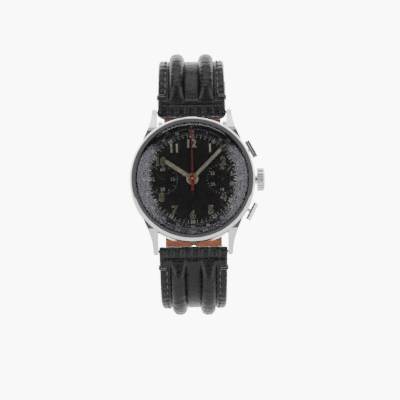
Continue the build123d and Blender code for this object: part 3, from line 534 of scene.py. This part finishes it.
print_cream = surface(
    "print_cream", (0.42, 0.42, 0.33), (0.62, 0.62, 0.50), (0.5, 0.7),
    scale=1.2, grain=9.0, depth=0.002,
)
lume_olive = surface(
    "lume_olive", (0.085, 0.066, 0.030), (0.15, 0.125, 0.062), (0.7, 0.9),
    scale=1.5, grain=7.0, depth=0.01,
)
lume_cream = surface(
    "lume_cream", (0.52, 0.53, 0.36), (0.72, 0.73, 0.55), (0.6, 0.8),
    scale=0.8, grain=7.0, depth=0.01,
)
hand_gilt = surface(
    "hand_gilt", (0.42, 0.34, 0.20), (0.66, 0.58, 0.40), (0.25, 0.4),
    metallic=0.7, scale=1.2, grain=9.0, depth=0.002,
)
hand_dark = surface(
    "hand_dark", (0.012, 0.012, 0.013), (0.035, 0.035, 0.038), (0.35, 0.5),
    metallic=0.2, scale=1.2, grain=9.0, depth=0.002,
)
hand_red = surface(
    "hand_red", (0.42, 0.025, 0.018), (0.60, 0.05, 0.032), (0.35, 0.5),
    scale=1.2, grain=9.0, depth=0.002, coat=0.3,
)
glass = glass_material()

FINISH = {
    "case_steel": case_metal,
    "polished_steel": polished,
    "acrylic": glass,
    "black_dial": lacquer,
    "cream_hands": hand_gilt,
    "dark_hands": hand_dark,
    "red_hand": hand_red,
    "bridge_metal": nickel,
    "wheel_brass": brass,
    "work_steel": grey_steel,
    "black_leather": black_leather,
    "tan_lining": tan_leather,
}
for entry in frame["record"]["subparts"]:
    mesh = nodes[entry["node"]].data
    mesh.materials.clear()
    mesh.materials.append(FINISH[entry["material_slot"]])
nodes["case_back"].data.materials[0] = back_metal


# ---- dial printing ----


MINUTE_RING = (12.72, 12.80)
FIFTH_RING = (13.22, 13.27)
HUNDRED_RING = (14.32, 14.38)
HUNDRED_END = 14.72
MINUTE_START = 11.85
SPEEDS = (500, 400, 300, 250, 200, 180, 160, 140, 130, 120, 110, 100, 95, 90, 85, 80, 75, 70, 65, 60)


def scale_numeral(solid, number, height, radius, angle, heavy):
    """Numeral of a round scale, turned so that none stands upside down."""
    x, y = clock(radius, angle)
    turn = angle if angle < 100 or angle > 260 else angle + 180
    write(solid, str(number), height, x, y, DIAL_Z + PRINT_LIFT, turn, heavy)


def minute_track():
    """Rings, ticks and numerals printed in grey and cream around the dial."""
    grey, cream = Solid(), Solid()
    z = DIAL_Z
    for inner, outer in (MINUTE_RING, FIFTH_RING, HUNDRED_RING):
        ring_shape(grey, inner, outer, z, z + PRINT)
    for minute in range(60):
        angle = 6 * minute
        if minute % 5:
            tick(cream, angle, MINUTE_START, MINUTE_RING[0], 0.13, z)
        else:
            for beside in (-2.6, 2.6):
                tick(cream, angle + beside, MINUTE_START, MINUTE_RING[0], 0.10, z)
            scale_numeral(cream, minute or 60, 1.0, 12.3, angle, 0.022)
    for part in range(0, 300, 5):
        tick(grey, 1.2 * part, MINUTE_RING[1], FIFTH_RING[0], 0.07, z)
    for part in range(100):
        angle = 3.6 * part
        if part % 5:
            tick(grey, angle, HUNDRED_RING[1], HUNDRED_END, 0.07, z)
        else:
            scale_numeral(grey, part or 100, 0.78, 13.78, angle, 0.022)
    for speed in SPEEDS:
        scale_numeral(cream, speed, 0.72, 15.2, 360 * 60 / speed, 0.030)
    grey.make("print_scales", print_grey, 30, "case", "black_dial")
    cream.make("print_minutes", print_cream, 30, "case", "black_dial")


def hour_numerals():
    """Large filled numerals, with none where 3 and 9 would be; those at 11, 12 and 1 are filled with lighter
    cream lume as a painted highlight.
    """
    rim, fill, bright = Solid(), Solid(), Solid()
    for hour in (12, 1, 2, 4, 5, 6, 7, 8, 10, 11):
        x, y = clock(10.25, 30 * hour)
        lit = hour in (12, 11, 1)
        write(rim, str(hour), 2.35, x, y, DIAL_Z, 0, 0.05, 0.92)
        # Painted highlight: the numerals at 11, 12 and 1 take the lighter cream lume, the rest the olive
        # lume.
        write(bright if lit else fill, str(hour), 2.33, x, y, DIAL_Z + 0.016, 0, 0.014, 0.92, 0.03)
    rim.make("numeral_rims", print_cream, 30, "case", "black_dial")
    fill.make("numeral_lume", lume_olive, 30, "case", "cream_hands")
    bright.make("numeral_lume_painted_highlight", lume_cream, 30, "case", "cream_hands")


def counters():
    """Printing in the two sunk counters, and their rims."""
    cream, grey = Solid(), Solid()
    z = COUNTER_Z
    left, right = (-SUBDIAL_X, 0), (SUBDIAL_X, 0)
    for second in range(0, 60, 5):
        tick(cream, 6 * second, 3.3, 4.05, 0.12, z, left)
    for label, angle in (("60", 0), ("15", 90), ("30", 180), ("45", 270)):
        x, y = clock(2.9, angle, left)
        write(cream, label, 1.0, x, y, z + PRINT_LIFT, 0, 0.020)
    ring_shape(grey, 4.25, 4.32, z, z + PRINT, left)
    for minute in range(30):
        dot(cream, 12 * minute, 4.2, 0.13, z, right)
    for minute in range(5, 31, 5):
        x, y = clock(3.15, 12 * minute, right)
        write(cream, str(minute), 0.95, x, y, z + PRINT_LIFT, 0, 0.020)
    for minute in (3, 6, 9):
        tick(cream, 12 * minute, 2.4, 4.5, 0.11, z, right)
    cream.make("counter_print", print_cream, 30, "case", "black_dial")
    grey.make("counter_rings", print_grey, 30, "case", "black_dial")
    steps = Solid()
    for centre in (left, right):
        lathe(steps, ((4.62, 8.30), (4.62, 8.405), (4.74, 8.412), (4.84, 8.40), (4.84, 8.30)), centre)
    steps.make("counter_rims", hand_dark, 30, "case", "black_dial")


# ---- hands ----


def turned(points, angle):
    """Outline turned clockwise about the centre."""
    a = math.radians(-angle)
    c, s = math.cos(a), math.sin(a)
    return [(x * c - y * s, x * s + y * c) for x, y in points]


def mirrored(left, tip=()):
    """Outline from its left side, going up, and any point on its centre line."""
    return [*left, *tip, *[(-x, y) for x, y in reversed(left)]]


def baton(name, lume_name, angle, z, frame_outline, lume_outline, hub, bore, body):
    """Stamped hand with a raised bar of lume and a stepped hub ring."""
    solid = Solid()
    solid.prism(turned(frame_outline, angle)[::-1], z, z + HAND_THICK)
    lathe(solid, (
        (bore, z), (hub, z), (hub, z + 0.16), (hub - 0.18, z + 0.2),
        (hub - 0.5, z + 0.2), (hub - 0.6, z + 0.17), (bore, z + 0.17),
    ))
    hand = solid.make(name, hand_gilt, 35, body, "cream_hands")
    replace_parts(hand, name.replace("_detail", ""))
    lume = Solid()
    outline = turned(lume_outline, angle)
    lume.prism(outline[::-1], z + 0.12, z + 0.19)
    centre = (sum(p[0] for p in outline) / len(outline), sum(p[1] for p in outline) / len(outline))
    crown = [(centre[0] + (x - centre[0]) * 0.93, centre[1] + (y - centre[1]) * 0.93) for x, y in outline]
    lume.prism(crown[::-1], z + 0.18, z + 0.21)
    lume.make(lume_name, lume_cream, 30, body, "cream_hands")


def hands():
    """Hour and minute hands, chronograph hand and the two small hands."""
    hour_frame = mirrored([(-0.25, 0.9), (-0.66, 2.0), (-0.66, 8.7), (-0.12, 9.8)])
    hour_lume = mirrored([(-0.46, 2.1), (-0.48, 8.5)], [(0, 9.1)])
    baton("hour_hand_detail", "hour_lume", HOUR_ANGLE, HOUR_Z, hour_frame, hour_lume, 1.75, 1.0, "hour")
    minute_frame = mirrored([(-0.22, 0.8), (-0.55, 1.6), (-0.55, 11.4), (-0.15, 11.95), (-0.1, 13.9)])
    minute_lume = mirrored([(-0.40, 1.7), (-0.42, 11.3)], [(0, 11.7)])
    baton(
        "minute_hand_detail", "minute_lume", MINUTE_ANGLE, MINUTE_Z, minute_frame, minute_lume,
        1.5, 0.75, "centre",
    )
    red = Solid()
    outline = mirrored([(-0.40, -3.5), (-0.38, -1.2), (-0.24, -0.6), (-0.22, 1.0), (-0.13, 15.2)])
    red.prism(outline[::-1], CHRONO_Z, CHRONO_Z + 0.12)
    lathe(red, ((0.0, 9.7), (0.83, 9.7), (0.83, 9.87), (0.74, 9.93), (0.3, 9.95), (0.0, 9.95)))
    needle = red.make("chrono_hand_detail", hand_red, 35, "runner", "red_hand")
    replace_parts(needle, "chrono_hand")
    cap = Solid()
    lathe(cap, ((0.0, 9.93), (0.2, 9.93), (0.2, 9.99), (0.12, 10.02), (0.0, 10.03)), steps=32)
    cap.make("chrono_hand_cap", polished, 35, "runner", "polished_steel")
    outline = mirrored([(-0.2, -1.2), (-0.16, 0), (-0.07, 3.4)])
    for name, x, angle, body in (
        ("small_seconds_hand", -SUBDIAL_X, SMALL_SECONDS_ANGLE, "fourth"),
        ("counter_hand", SUBDIAL_X, COUNTER_ANGLE, "counter"),
    ):
        solid = Solid()
        around = [(x + px, py) for px, py in turned(outline, angle)]
        solid.prism(around[::-1], SUB_HAND_Z, SUB_HAND_Z + 0.1)
        lathe(solid, ((0.0, 8.58), (0.5, 8.58), (0.5, 8.7), (0.4, 8.76), (0.0, 8.78)), (x, 0), 40)
        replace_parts(solid.make(name + "_detail", hand_dark, 35, body, "dark_hands"), name)


def acrylic():
    """Crystal turned finely, so that its shoulder mirrors the lights cleanly."""
    edge, brow_r = GLASS_EDGE, GLASS_R - 0.75
    brow = edge + 0.8
    shoulder = brow + GLASS_SHOULDER
    half_r, half_rise = GLASS_FLAT_R / 2, 0.75 * GLASS_DOME
    top, flank = shoulder + GLASS_DOME, shoulder + half_rise
    outer = arc_points((0, top), (half_r, flank), (GLASS_FLAT_R, shoulder), 14)
    middle = ((GLASS_FLAT_R + brow_r) / 2, shoulder - 0.37 * GLASS_SHOULDER)
    outer += arc_points((GLASS_FLAT_R, shoulder), middle, (brow_r, brow), 16)[1:]
    outer += arc_points((brow_r, brow), (GLASS_R - 0.2, edge + 0.45), (GLASS_R, edge), 10)[1:]
    outer += [(GLASS_R, GLASS_FOOT), (GLASS_INNER_R, GLASS_FOOT), (GLASS_INNER_R, edge)]
    inner_r, inner_brow, inner_shoulder = GLASS_INNER_R - 0.4, edge + 0.25, shoulder - GLASS_WALL
    middle = ((GLASS_FLAT_R + inner_r) / 2, inner_shoulder - 0.38 * (inner_shoulder - inner_brow))
    inner = arc_points((inner_r, inner_brow), middle, (GLASS_FLAT_R, inner_shoulder), 16)
    top, flank = inner_shoulder + GLASS_DOME, inner_shoulder + half_rise
    inner += arc_points((GLASS_FLAT_R, inner_shoulder), (half_r, flank), (0, top), 14)[1:]
    solid = Solid()
    lathe(solid, outer + inner, steps=180)
    crystal = solid.make("crystal_dome", glass, 40, "case", "acrylic")
    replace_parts(crystal, "crystal")


# ---- strap ----


def strap_curve(reach):
    """Loop of one strap half as (length, y, z), from its spring bar backwards."""
    power = 2 / SQUARENESS
    start = (BAR_Y / reach) ** (SQUARENESS / 2)
    front = (BAR_Z - CENTRE_Z) / (1 - start**2) ** (power / 2)
    rear = CENTRE_Z - BACK_Z
    first = math.atan2((1 - start**2) ** 0.5, start)
    samples = []
    length = 0.0
    for step in range(1601):
        angle = first - (first + 0.95 * math.pi) * step / 1600
        across = abs(math.cos(angle)) ** power * reach
        depth = abs(math.sin(angle)) ** power
        y = across if math.cos(angle) > 0 else -across
        z = CENTRE_Z + (front * depth if math.sin(angle) > 0 else -rear * depth)
        if samples:
            length += math.hypot(y - samples[-1][1], z - samples[-1][2])
        samples.append((length, y, z))
    return samples


CURVES = {side: strap_curve(reach) for side, reach in REACH.items()}


def curve_point(distance, side):
    """Point on a strap half's loop at a distance from its spring bar."""
    curve = CURVES[side]
    low, high = 0, len(curve) - 1
    while high - low > 1:
        middle = (low + high) // 2
        if curve[middle][0] < distance:
            low = middle
        else:
            high = middle
    a, b = curve[low], curve[high]
    share = clamp((distance - a[0]) / (b[0] - a[0]))
    return a[1] + share * (b[1] - a[1]), a[2] + share * (b[2] - a[2])


def strap_frame(distance, side):
    """Point, outward normal and tangent of the strap as (y, z) pairs."""
    y0, z0 = curve_point(max(distance - 1.5, 0.0), side)
    y1, z1 = curve_point(distance + 1.5, side)
    y, z = curve_point(distance, side)
    length = math.hypot(y1 - y0, z1 - z0)
    tangent = (side * (y1 - y0) / length, (z1 - z0) / length)
    normal = (side * (z0 - z1) / length, (y1 - y0) / length)
    return (side * y, z), normal, tangent


def strap_width(distance, total, pointed):
    width = STRAP_WIDTH + (END_WIDTH - STRAP_WIDTH) * clamp(distance / 60)
    left = total - distance
    if pointed and left < 9:
        width *= 0.32 + 0.68 * (max(left, 0) / 9) ** 0.5
    return width


def wrinkle(x, s, seed):
    """Creases that run across the strap, with finer ones among them."""
    broad = noise.noise(Vector((x * 0.10 + 9, s * 0.38, seed + 5)))
    fold = noise.noise(Vector((x * 0.16, s * 0.95, seed)))
    line = abs(noise.noise(Vector((x * 0.13 + 3, s * 1.25, seed + 11))))
    return 0.10 * broad + 0.07 * fold - 0.11 * math.exp(-((line / 0.09) ** 2))


def fold_phase(side):
    """Shift that gives each strap half its own creases."""
    return 2.5 + 1.5 * side


def puckers(x, side, broad, fine):
    """Gathers across the strap by its spring bar, broad ones and fine ones."""
    phase = fold_phase(side)
    return broad * math.sin(x * 1.9 + phase) + fine * math.sin(x * 4.3 + 2 * phase)


def leather_height(x, s, total, half, side):
    """Height of the upper leather over the lining, in mm."""
    scale = 2 * half / STRAP_WIDTH
    end = min(total - 22, 50)
    start = FOLD_S[side]
    inward = clamp((half - abs(x)) / 0.9)
    base = 0.45 + (UPPER - 0.45) * (1 - (1 - inward) ** 2) ** 0.5
    rise = ramp(s, start - 0.6, start + 5.4) * (1 - ramp(s, end - 12, end))
    off = abs(abs(x) / scale - RIDGE_X) / RIDGE_SPREAD
    crown = max(0.0, 1 - off**2.4) ** 0.62 if off < 1 else 0.0
    valley = -0.22 * math.exp(-((x / 1.8) ** 2)) * rise
    trench = -0.22 * math.exp(-(((off - 1.04) / 0.16) ** 2)) * rise
    pucker = puckers(x, side, 0.15, 0.08) * math.exp(-(((s - start + 0.9) / 1.2) ** 2))
    fold = -0.42 * math.exp(-(((s - start) / 0.24) ** 2))
    fold += 0.16 * math.exp(-(((s - start - 0.75) / 0.4) ** 2))
    beside = half - STITCH_INSET - abs(x)
    seam = -0.24 * math.exp(-((beside / 0.42) ** 2)) * ramp(s, start, start + 1.2)
    scallop = 0.07 * math.cos(2 * math.pi * (s - 5.9) / STITCH_PITCH)
    scallop *= math.exp(-(((beside + 0.9) / 0.7) ** 2))
    creases = wrinkle(x, s, fold_phase(side)) * (0.45 + 0.75 * crown) * ramp(s, 1.0, 4.5)
    return base + RIDGE * rise * crown + valley + trench + pucker + (fold + seam + scallop + creases) * inward


def lay(x, n, point, normal, tangent=(0, 0), along=0.0):
    """Point across the strap at a height above its lining line, moved along it."""
    y = point[0] + normal[0] * n + tangent[0] * along
    z = point[1] + normal[1] * n + tangent[1] * along
    return (x, y, z)


def strap_rows(total, side, pointed, end):
    """Top and bottom grids of the upper leather, rolled round the spring bar."""
    across = 85
    top, bottom = [], []
    point, normal, tangent = strap_frame(0.0, side)
    for step in range(14, 0, -1):
        a = math.pi * step / 14
        direction = [math.cos(a) * normal[i] - math.sin(a) * tangent[i] for i in (0, 1)]
        outer, inner = [], []
        for c in range(across):
            u = -1 + 2 * c / (across - 1)
            x = u * STRAP_WIDTH / 2
            soft = 0.35 * max(0.0, (abs(u) - 0.93) / 0.07) ** 2
            pucker = puckers(x, side, 0.10, 0.06) * clamp(1.3 - step / 10)
            outer.append(lay(x, ROLL_R - 0.05 - soft + pucker, point, direction))
            inner.append(lay(x, ROLL_BORE, point, direction))
        top.append(outer)
        bottom.append(inner)
    steps = int(end / 0.3)
    for step in range(steps + 1):
        s = end * step / steps
        point, normal, _ = strap_frame(s, side)
        half = strap_width(s, total, pointed) / 2
        outer, inner = [], []
        for c in range(across):
            u = -1 + 2 * c / (across - 1)
            x = u * half
            outer.append(lay(x, leather_height(x, s, total, half, side), point, normal))
            inner.append(lay(x, ROLL_BORE * (1 - ramp(s, 0.0, 1.6)), point, normal))
        top.append(outer)
        bottom.append(inner)
    return top, bottom


def stitch_rings(edge, total, side, pointed, first):
    """Rings of one plump stitch, thin where it sinks into the leather."""
    rings = []
    for k in range(7):
        t = k / 6
        along = first + STITCH_LENGTH * t
        point, normal, _ = strap_frame(along, side)
        half = strap_width(along, total, pointed) / 2
        x = edge * (half - STITCH_INSET)
        arch = math.sin(math.pi * t)
        radius = 0.07 + 0.19 * arch**0.5
        high = UPPER - 0.22 + 0.2 * arch**0.6
        ring = []
        for j in range(8):
            a = 2 * math.pi * j / 8
            lean = 0.05 * edge * (t - 0.5)
            ring.append(lay(x + radius * math.cos(a) + lean, high + radius * math.sin(a), point, normal))
        rings.append(ring)
    return rings


def stitches(total, side, pointed, first, last):
    """Saddle stitches along both margins."""
    solid = Solid()
    s = first
    while s < last:
        for edge in (-1, 1):
            tube(solid, stitch_rings(edge, total, side, pointed, s))
        s += STITCH_PITCH
    return solid


def bar_tack(solid, side, edge, s):
    """Stitch wrapped over the strap's edge near the lug."""
    point, normal, tangent = strap_frame(s, side)
    half = strap_width(s, SHORT, False) / 2
    path = [
        (half - STITCH_INSET, UPPER), (half - 0.9, UPPER + 0.12), (half + 0.05, UPPER - 0.15),
        (half + 0.18, 0.4), (half + 0.1, -LINING + 0.05), (half - 0.8, -LINING - 0.1),
        (half - 2.0, -LINING + 0.02),
    ]
    for lane in (-0.28, 0.28):
        rings = []
        for k, (x, n) in enumerate(path):
            before, after = path[max(k - 1, 0)], path[min(k + 1, len(path) - 1)]
            dx, dn = after[0] - before[0], after[1] - before[1]
            size = math.hypot(dx, dn)
            nx, nn = -dn / size, dx / size
            ring = []
            for j in range(8):
                a = 2 * math.pi * j / 8
                off, up = TACK_R * math.cos(a), TACK_R * math.sin(a)
                ring.append(lay(edge * (x + nx * up), n + nn * up, point, normal, tangent, lane + off))
            rings.append(ring)
        tube(solid, rings)


def lining_rows(total, side, pointed, first, last):
    """Grids of the lining leather."""
    across = 31
    top, bottom = [], []
    steps = int((last - first) / 0.8)
    for step in range(steps + 1):
        s = first + (last - first) * step / steps
        point, normal, _ = strap_frame(s, side)
        half = strap_width(s, total, pointed) / 2
        outer, inner = [], []
        for c in range(across):
            u = -1 + 2 * c / (across - 1)
            x = u * (half - 0.03)
            soft = 0.3 * max(0.0, (abs(u) - 0.95) / 0.05) ** 2
            grain = 0.03 * noise.noise(Vector((x * 0.5, s * 0.5, 3.0)))
            outer.append(lay(x, -0.06, point, normal))
            inner.append(lay(x, -LINING + soft + grain, point, normal))
        top.append(outer)
        bottom.append(inner)
    return top, bottom


def end_roll(solid, side):
    """Leather turned round the buckle bar, split for the tongue."""
    point, normal, tangent = strap_frame(SHORT + 0.8, side)
    for x0, x1 in ((-END_WIDTH / 2, -1.5), (1.5, END_WIDTH / 2)):
        top, bottom = [], []
        for step in range(19):
            a = math.pi * step / 18
            direction = [math.cos(a) * normal[i] + math.sin(a) * tangent[i] for i in (0, 1)]
            outer, inner = [], []
            for c in range(21):
                x = x0 + (x1 - x0) * c / 20
                soft = 0.25 * max(0.0, (abs(2 * c / 20 - 1) - 0.9) / 0.1) ** 2
                outer.append(lay(x, END_ROLL_R - soft, point, direction))
                inner.append(lay(x, END_ROLL_BORE, point, direction))
            top.append(outer)
            bottom.append(inner)
        for step in range(1, 5):
            s = SHORT + 0.8 - 0.75 * step
            p, n, _ = strap_frame(s, side)
            places = [x0 + (x1 - x0) * c / 20 for c in range(21)]
            top.insert(0, [lay(x, END_ROLL_R + 0.05, p, n) for x in places])
            bottom.insert(0, [lay(x, END_ROLL_BORE * (1 - step / 4), p, n) for x in places])
        solid.shell(top, bottom)


def punch(obj, side):
    """Cuts the buckle holes through a strap piece."""
    cutter = Solid()
    for index in range(HOLE_COUNT):
        s = LONG - FIRST_HOLE - HOLE_PITCH * index
        point, normal, tangent = strap_frame(s, side)
        rings = []
        for n in (-3.0, 3.5):
            ring = []
            for k in range(24):
                a = 2 * math.pi * k / 24
                ring.append(lay(HOLE_R * math.cos(a), n, point, normal, tangent, HOLE_R * math.sin(a)))
            rings.append(ring)
        tube(cutter, rings)
    tool = cutter.make("hole_cutter", black_leather)
    cut = obj.modifiers.new("holes", "BOOLEAN")
    cut.object = tool
    cut.solver = "EXACT"
    graph = bpy.context.evaluated_depsgraph_get()
    mesh = bpy.data.meshes.new_from_object(obj.evaluated_get(graph))
    obj.modifiers.clear()
    obj.data = mesh
    bpy.data.objects.remove(tool)


def strap():
    """Padded uppers, linings, stitching and the end roll."""
    upper = Solid()
    upper.shell(*strap_rows(SHORT, 1, False, SHORT - 2.0))
    end_roll(upper, 1)
    short = upper.make("strap_12_leather", black_leather, 60, "strap_12", "black_leather")
    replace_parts(short, "strap_12_upper")
    upper = Solid()
    upper.shell(*strap_rows(LONG, -1, True, LONG))
    long = upper.make("strap_6_leather", black_leather, 60, "strap_6", "black_leather")
    punch(long, -1)
    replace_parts(long, "strap_6_upper")
    lining = Solid()
    lining.shell(*lining_rows(SHORT, 1, False, 1.7, SHORT - 1.9))
    skin = lining.make("strap_12_lining_skin", tan_leather, 60, "strap_12", "tan_lining")
    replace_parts(skin, "strap_12_lining")
    lining = Solid()
    lining.shell(*lining_rows(LONG, -1, True, 1.7, LONG - 0.1))
    skin = lining.make("strap_6_lining_skin", tan_leather, 60, "strap_6", "tan_lining")
    punch(skin, -1)
    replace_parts(skin, "strap_6_lining")
    for name, total, side, pointed, last, body in (
        ("strap_12_stitching", SHORT, 1, False, SHORT - 5, "strap_12"),
        ("strap_6_stitching", LONG, -1, True, LONG - 9, "strap_6"),
    ):
        thread = stitches(total, side, pointed, STITCH_START, last)
        for edge in (-1, 1):
            bar_tack(thread, side, edge, TACK_S)
        thread.make(name, thread_grey, 60, body, "black_leather")


def keeper(name, distance, body):
    """Leather loop with rolled edges."""
    point, normal, tangent = strap_frame(distance, 1)
    half, low, high, corner = END_WIDTH / 2 + 0.55, -LINING - 0.45, UPPER + 2.9, 0.9
    loop = []
    for cx, cy, start in (
        (half - corner, high - corner, 0),
        (-half + corner, high - corner, 90),
        (-half + corner, low + corner, 180),
        (half - corner, low + corner, 270),
    ):
        for k in range(9):
            a = math.radians(start + 90 * k / 8)
            loop.append((cx, cy, math.cos(a), math.sin(a), corner))
    rings = []
    for k in range(25):
        a = 2 * math.pi * k / 24
        thick = 0.5 + 0.5 * math.copysign(abs(math.cos(a)) ** 0.45, math.cos(a))
        along = KEEPER_WIDTH / 2 * math.copysign(abs(math.sin(a)) ** 0.45, math.sin(a))
        ring = []
        for cx, cy, dx, dy, r in loop:
            x, n = cx + dx * (r + thick), cy + dy * (r + thick)
            ring.append(lay(x, n, point, normal, tangent, along))
        rings.append(ring)
    solid = Solid()
    solid.grid(rings, closed=True)
    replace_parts(solid.make(name + "_leather", black_leather, 60, body, "black_leather"), name)


# ---- studio ----


def panel(name, azimuth, elevation, distance, width, height, level):
    """Soft box facing the watch, at a given radiance."""
    data = bpy.data.lights.new(name, "AREA")
    data.shape = "RECTANGLE"
    data.size, data.size_y = width, height
    data.energy = level * math.pi * width * height
    lamp = bpy.data.objects.new(name, data)
    side, up = math.radians(azimuth), math.radians(elevation)
    aim = Vector((math.sin(side) * math.cos(up), -math.cos(side) * math.cos(up), math.sin(up)))
    lamp.location = aim * distance
    lamp.rotation_euler = aim.to_track_quat("Z", "Y").to_euler()
    bpy.context.scene.collection.objects.link(lamp)


def pale_floor():
    """Matt floor below and behind the watch."""
    finish = surface("floor_pale", (0.80, 0.80, 0.80), (0.84, 0.84, 0.84), (0.5, 0.6), scale=0.01, grain=0.2)
    turns = [k * math.pi / 32 for k in range(64)]
    outline = [(0.9 * math.cos(a), 0.55 + 0.75 * math.sin(a), FLOOR_Z) for a in turns]
    mesh = bpy.data.meshes.new("floor")
    mesh.from_pydata(outline, [], [list(range(64))])
    mesh.materials.append(finish)
    floor = bpy.data.objects.new("floor", mesh)
    bpy.context.scene.collection.objects.link(floor)


def surroundings():
    """White studio: bright behind the watch, dim where the photographer stands."""
    world = bpy.data.worlds.new("studio")
    world.use_nodes = True
    tree = world.node_tree
    tree.nodes.clear()
    out = tree.nodes.new("ShaderNodeOutputWorld")
    sky = tree.nodes.new("ShaderNodeBackground")
    plain = tree.nodes.new("ShaderNodeBackground")
    pick = tree.nodes.new("ShaderNodeMixShader")
    path = tree.nodes.new("ShaderNodeLightPath")
    where = tree.nodes.new("ShaderNodeTexCoord")
    facing = tree.nodes.new("ShaderNodeVectorMath")
    facing.operation = "DOT_PRODUCT"
    facing.inputs[1].default_value = (0, -1, 0)
    tree.links.new(where.outputs["Generated"], facing.inputs[0])
    tree.links.new(remap(tree, facing.outputs["Value"], 5.0, 0.17, -0.5, -0.05), sky.inputs["Strength"])
    plain.inputs["Color"].default_value = (1.0, 1.0, 1.0, 1)
    plain.inputs["Strength"].default_value = 9.5
    tree.links.new(path.outputs["Is Camera Ray"], pick.inputs[0])
    tree.links.new(sky.outputs[0], pick.inputs[1])
    tree.links.new(plain.outputs[0], pick.inputs[2])
    tree.links.new(pick.outputs[0], out.inputs[0])
    bpy.context.scene.world = world


def camera():
    """Camera at the photograph's angle: square on, a little below the dial's axis."""
    data = bpy.data.cameras.new("camera")
    data.sensor_width = 36.0
    data.lens = LENS
    data.clip_start, data.clip_end = 0.05, 20
    eye = bpy.data.objects.new("camera", data)
    tilt = math.radians(CAMERA_TILT)
    target = place(2.09, -6.07, DIAL_Z)
    eye.location = target + Vector((0, -math.cos(tilt), -math.sin(tilt))) * CAMERA_DISTANCE
    eye.rotation_mode = "QUATERNION"
    roll = Matrix.Rotation(math.radians(CAMERA_ROLL), 3, "Z")
    aim = Matrix.Rotation(math.pi / 2 + tilt, 3, "X") @ roll
    eye.rotation_quaternion = aim.to_quaternion()
    bpy.context.scene.collection.objects.link(eye)
    bpy.context.scene.camera = eye


for node in nodes.values():
    node.data.shade_smooth()
    node.data.set_sharp_from_angle(angle=math.radians(22))
minute_track()
hour_numerals()
counters()
hands()
acrylic()
strap()
keeper("fixed_keeper", FIXED_KEEPER_S, "strap_12")
keeper("free_keeper", FREE_KEEPER_S, "free_keeper")
pale_floor()
panel("soft_left", -45, 0, 0.9, *SOFT_BOX, SOFT_LEVEL)
panel("soft_right", 45, 0, 0.9, *SOFT_BOX, SOFT_LEVEL)
panel("soft_top", 0, 68, 0.8, 0.9, 0.4, SOFT_LEVEL)
surroundings()
camera()
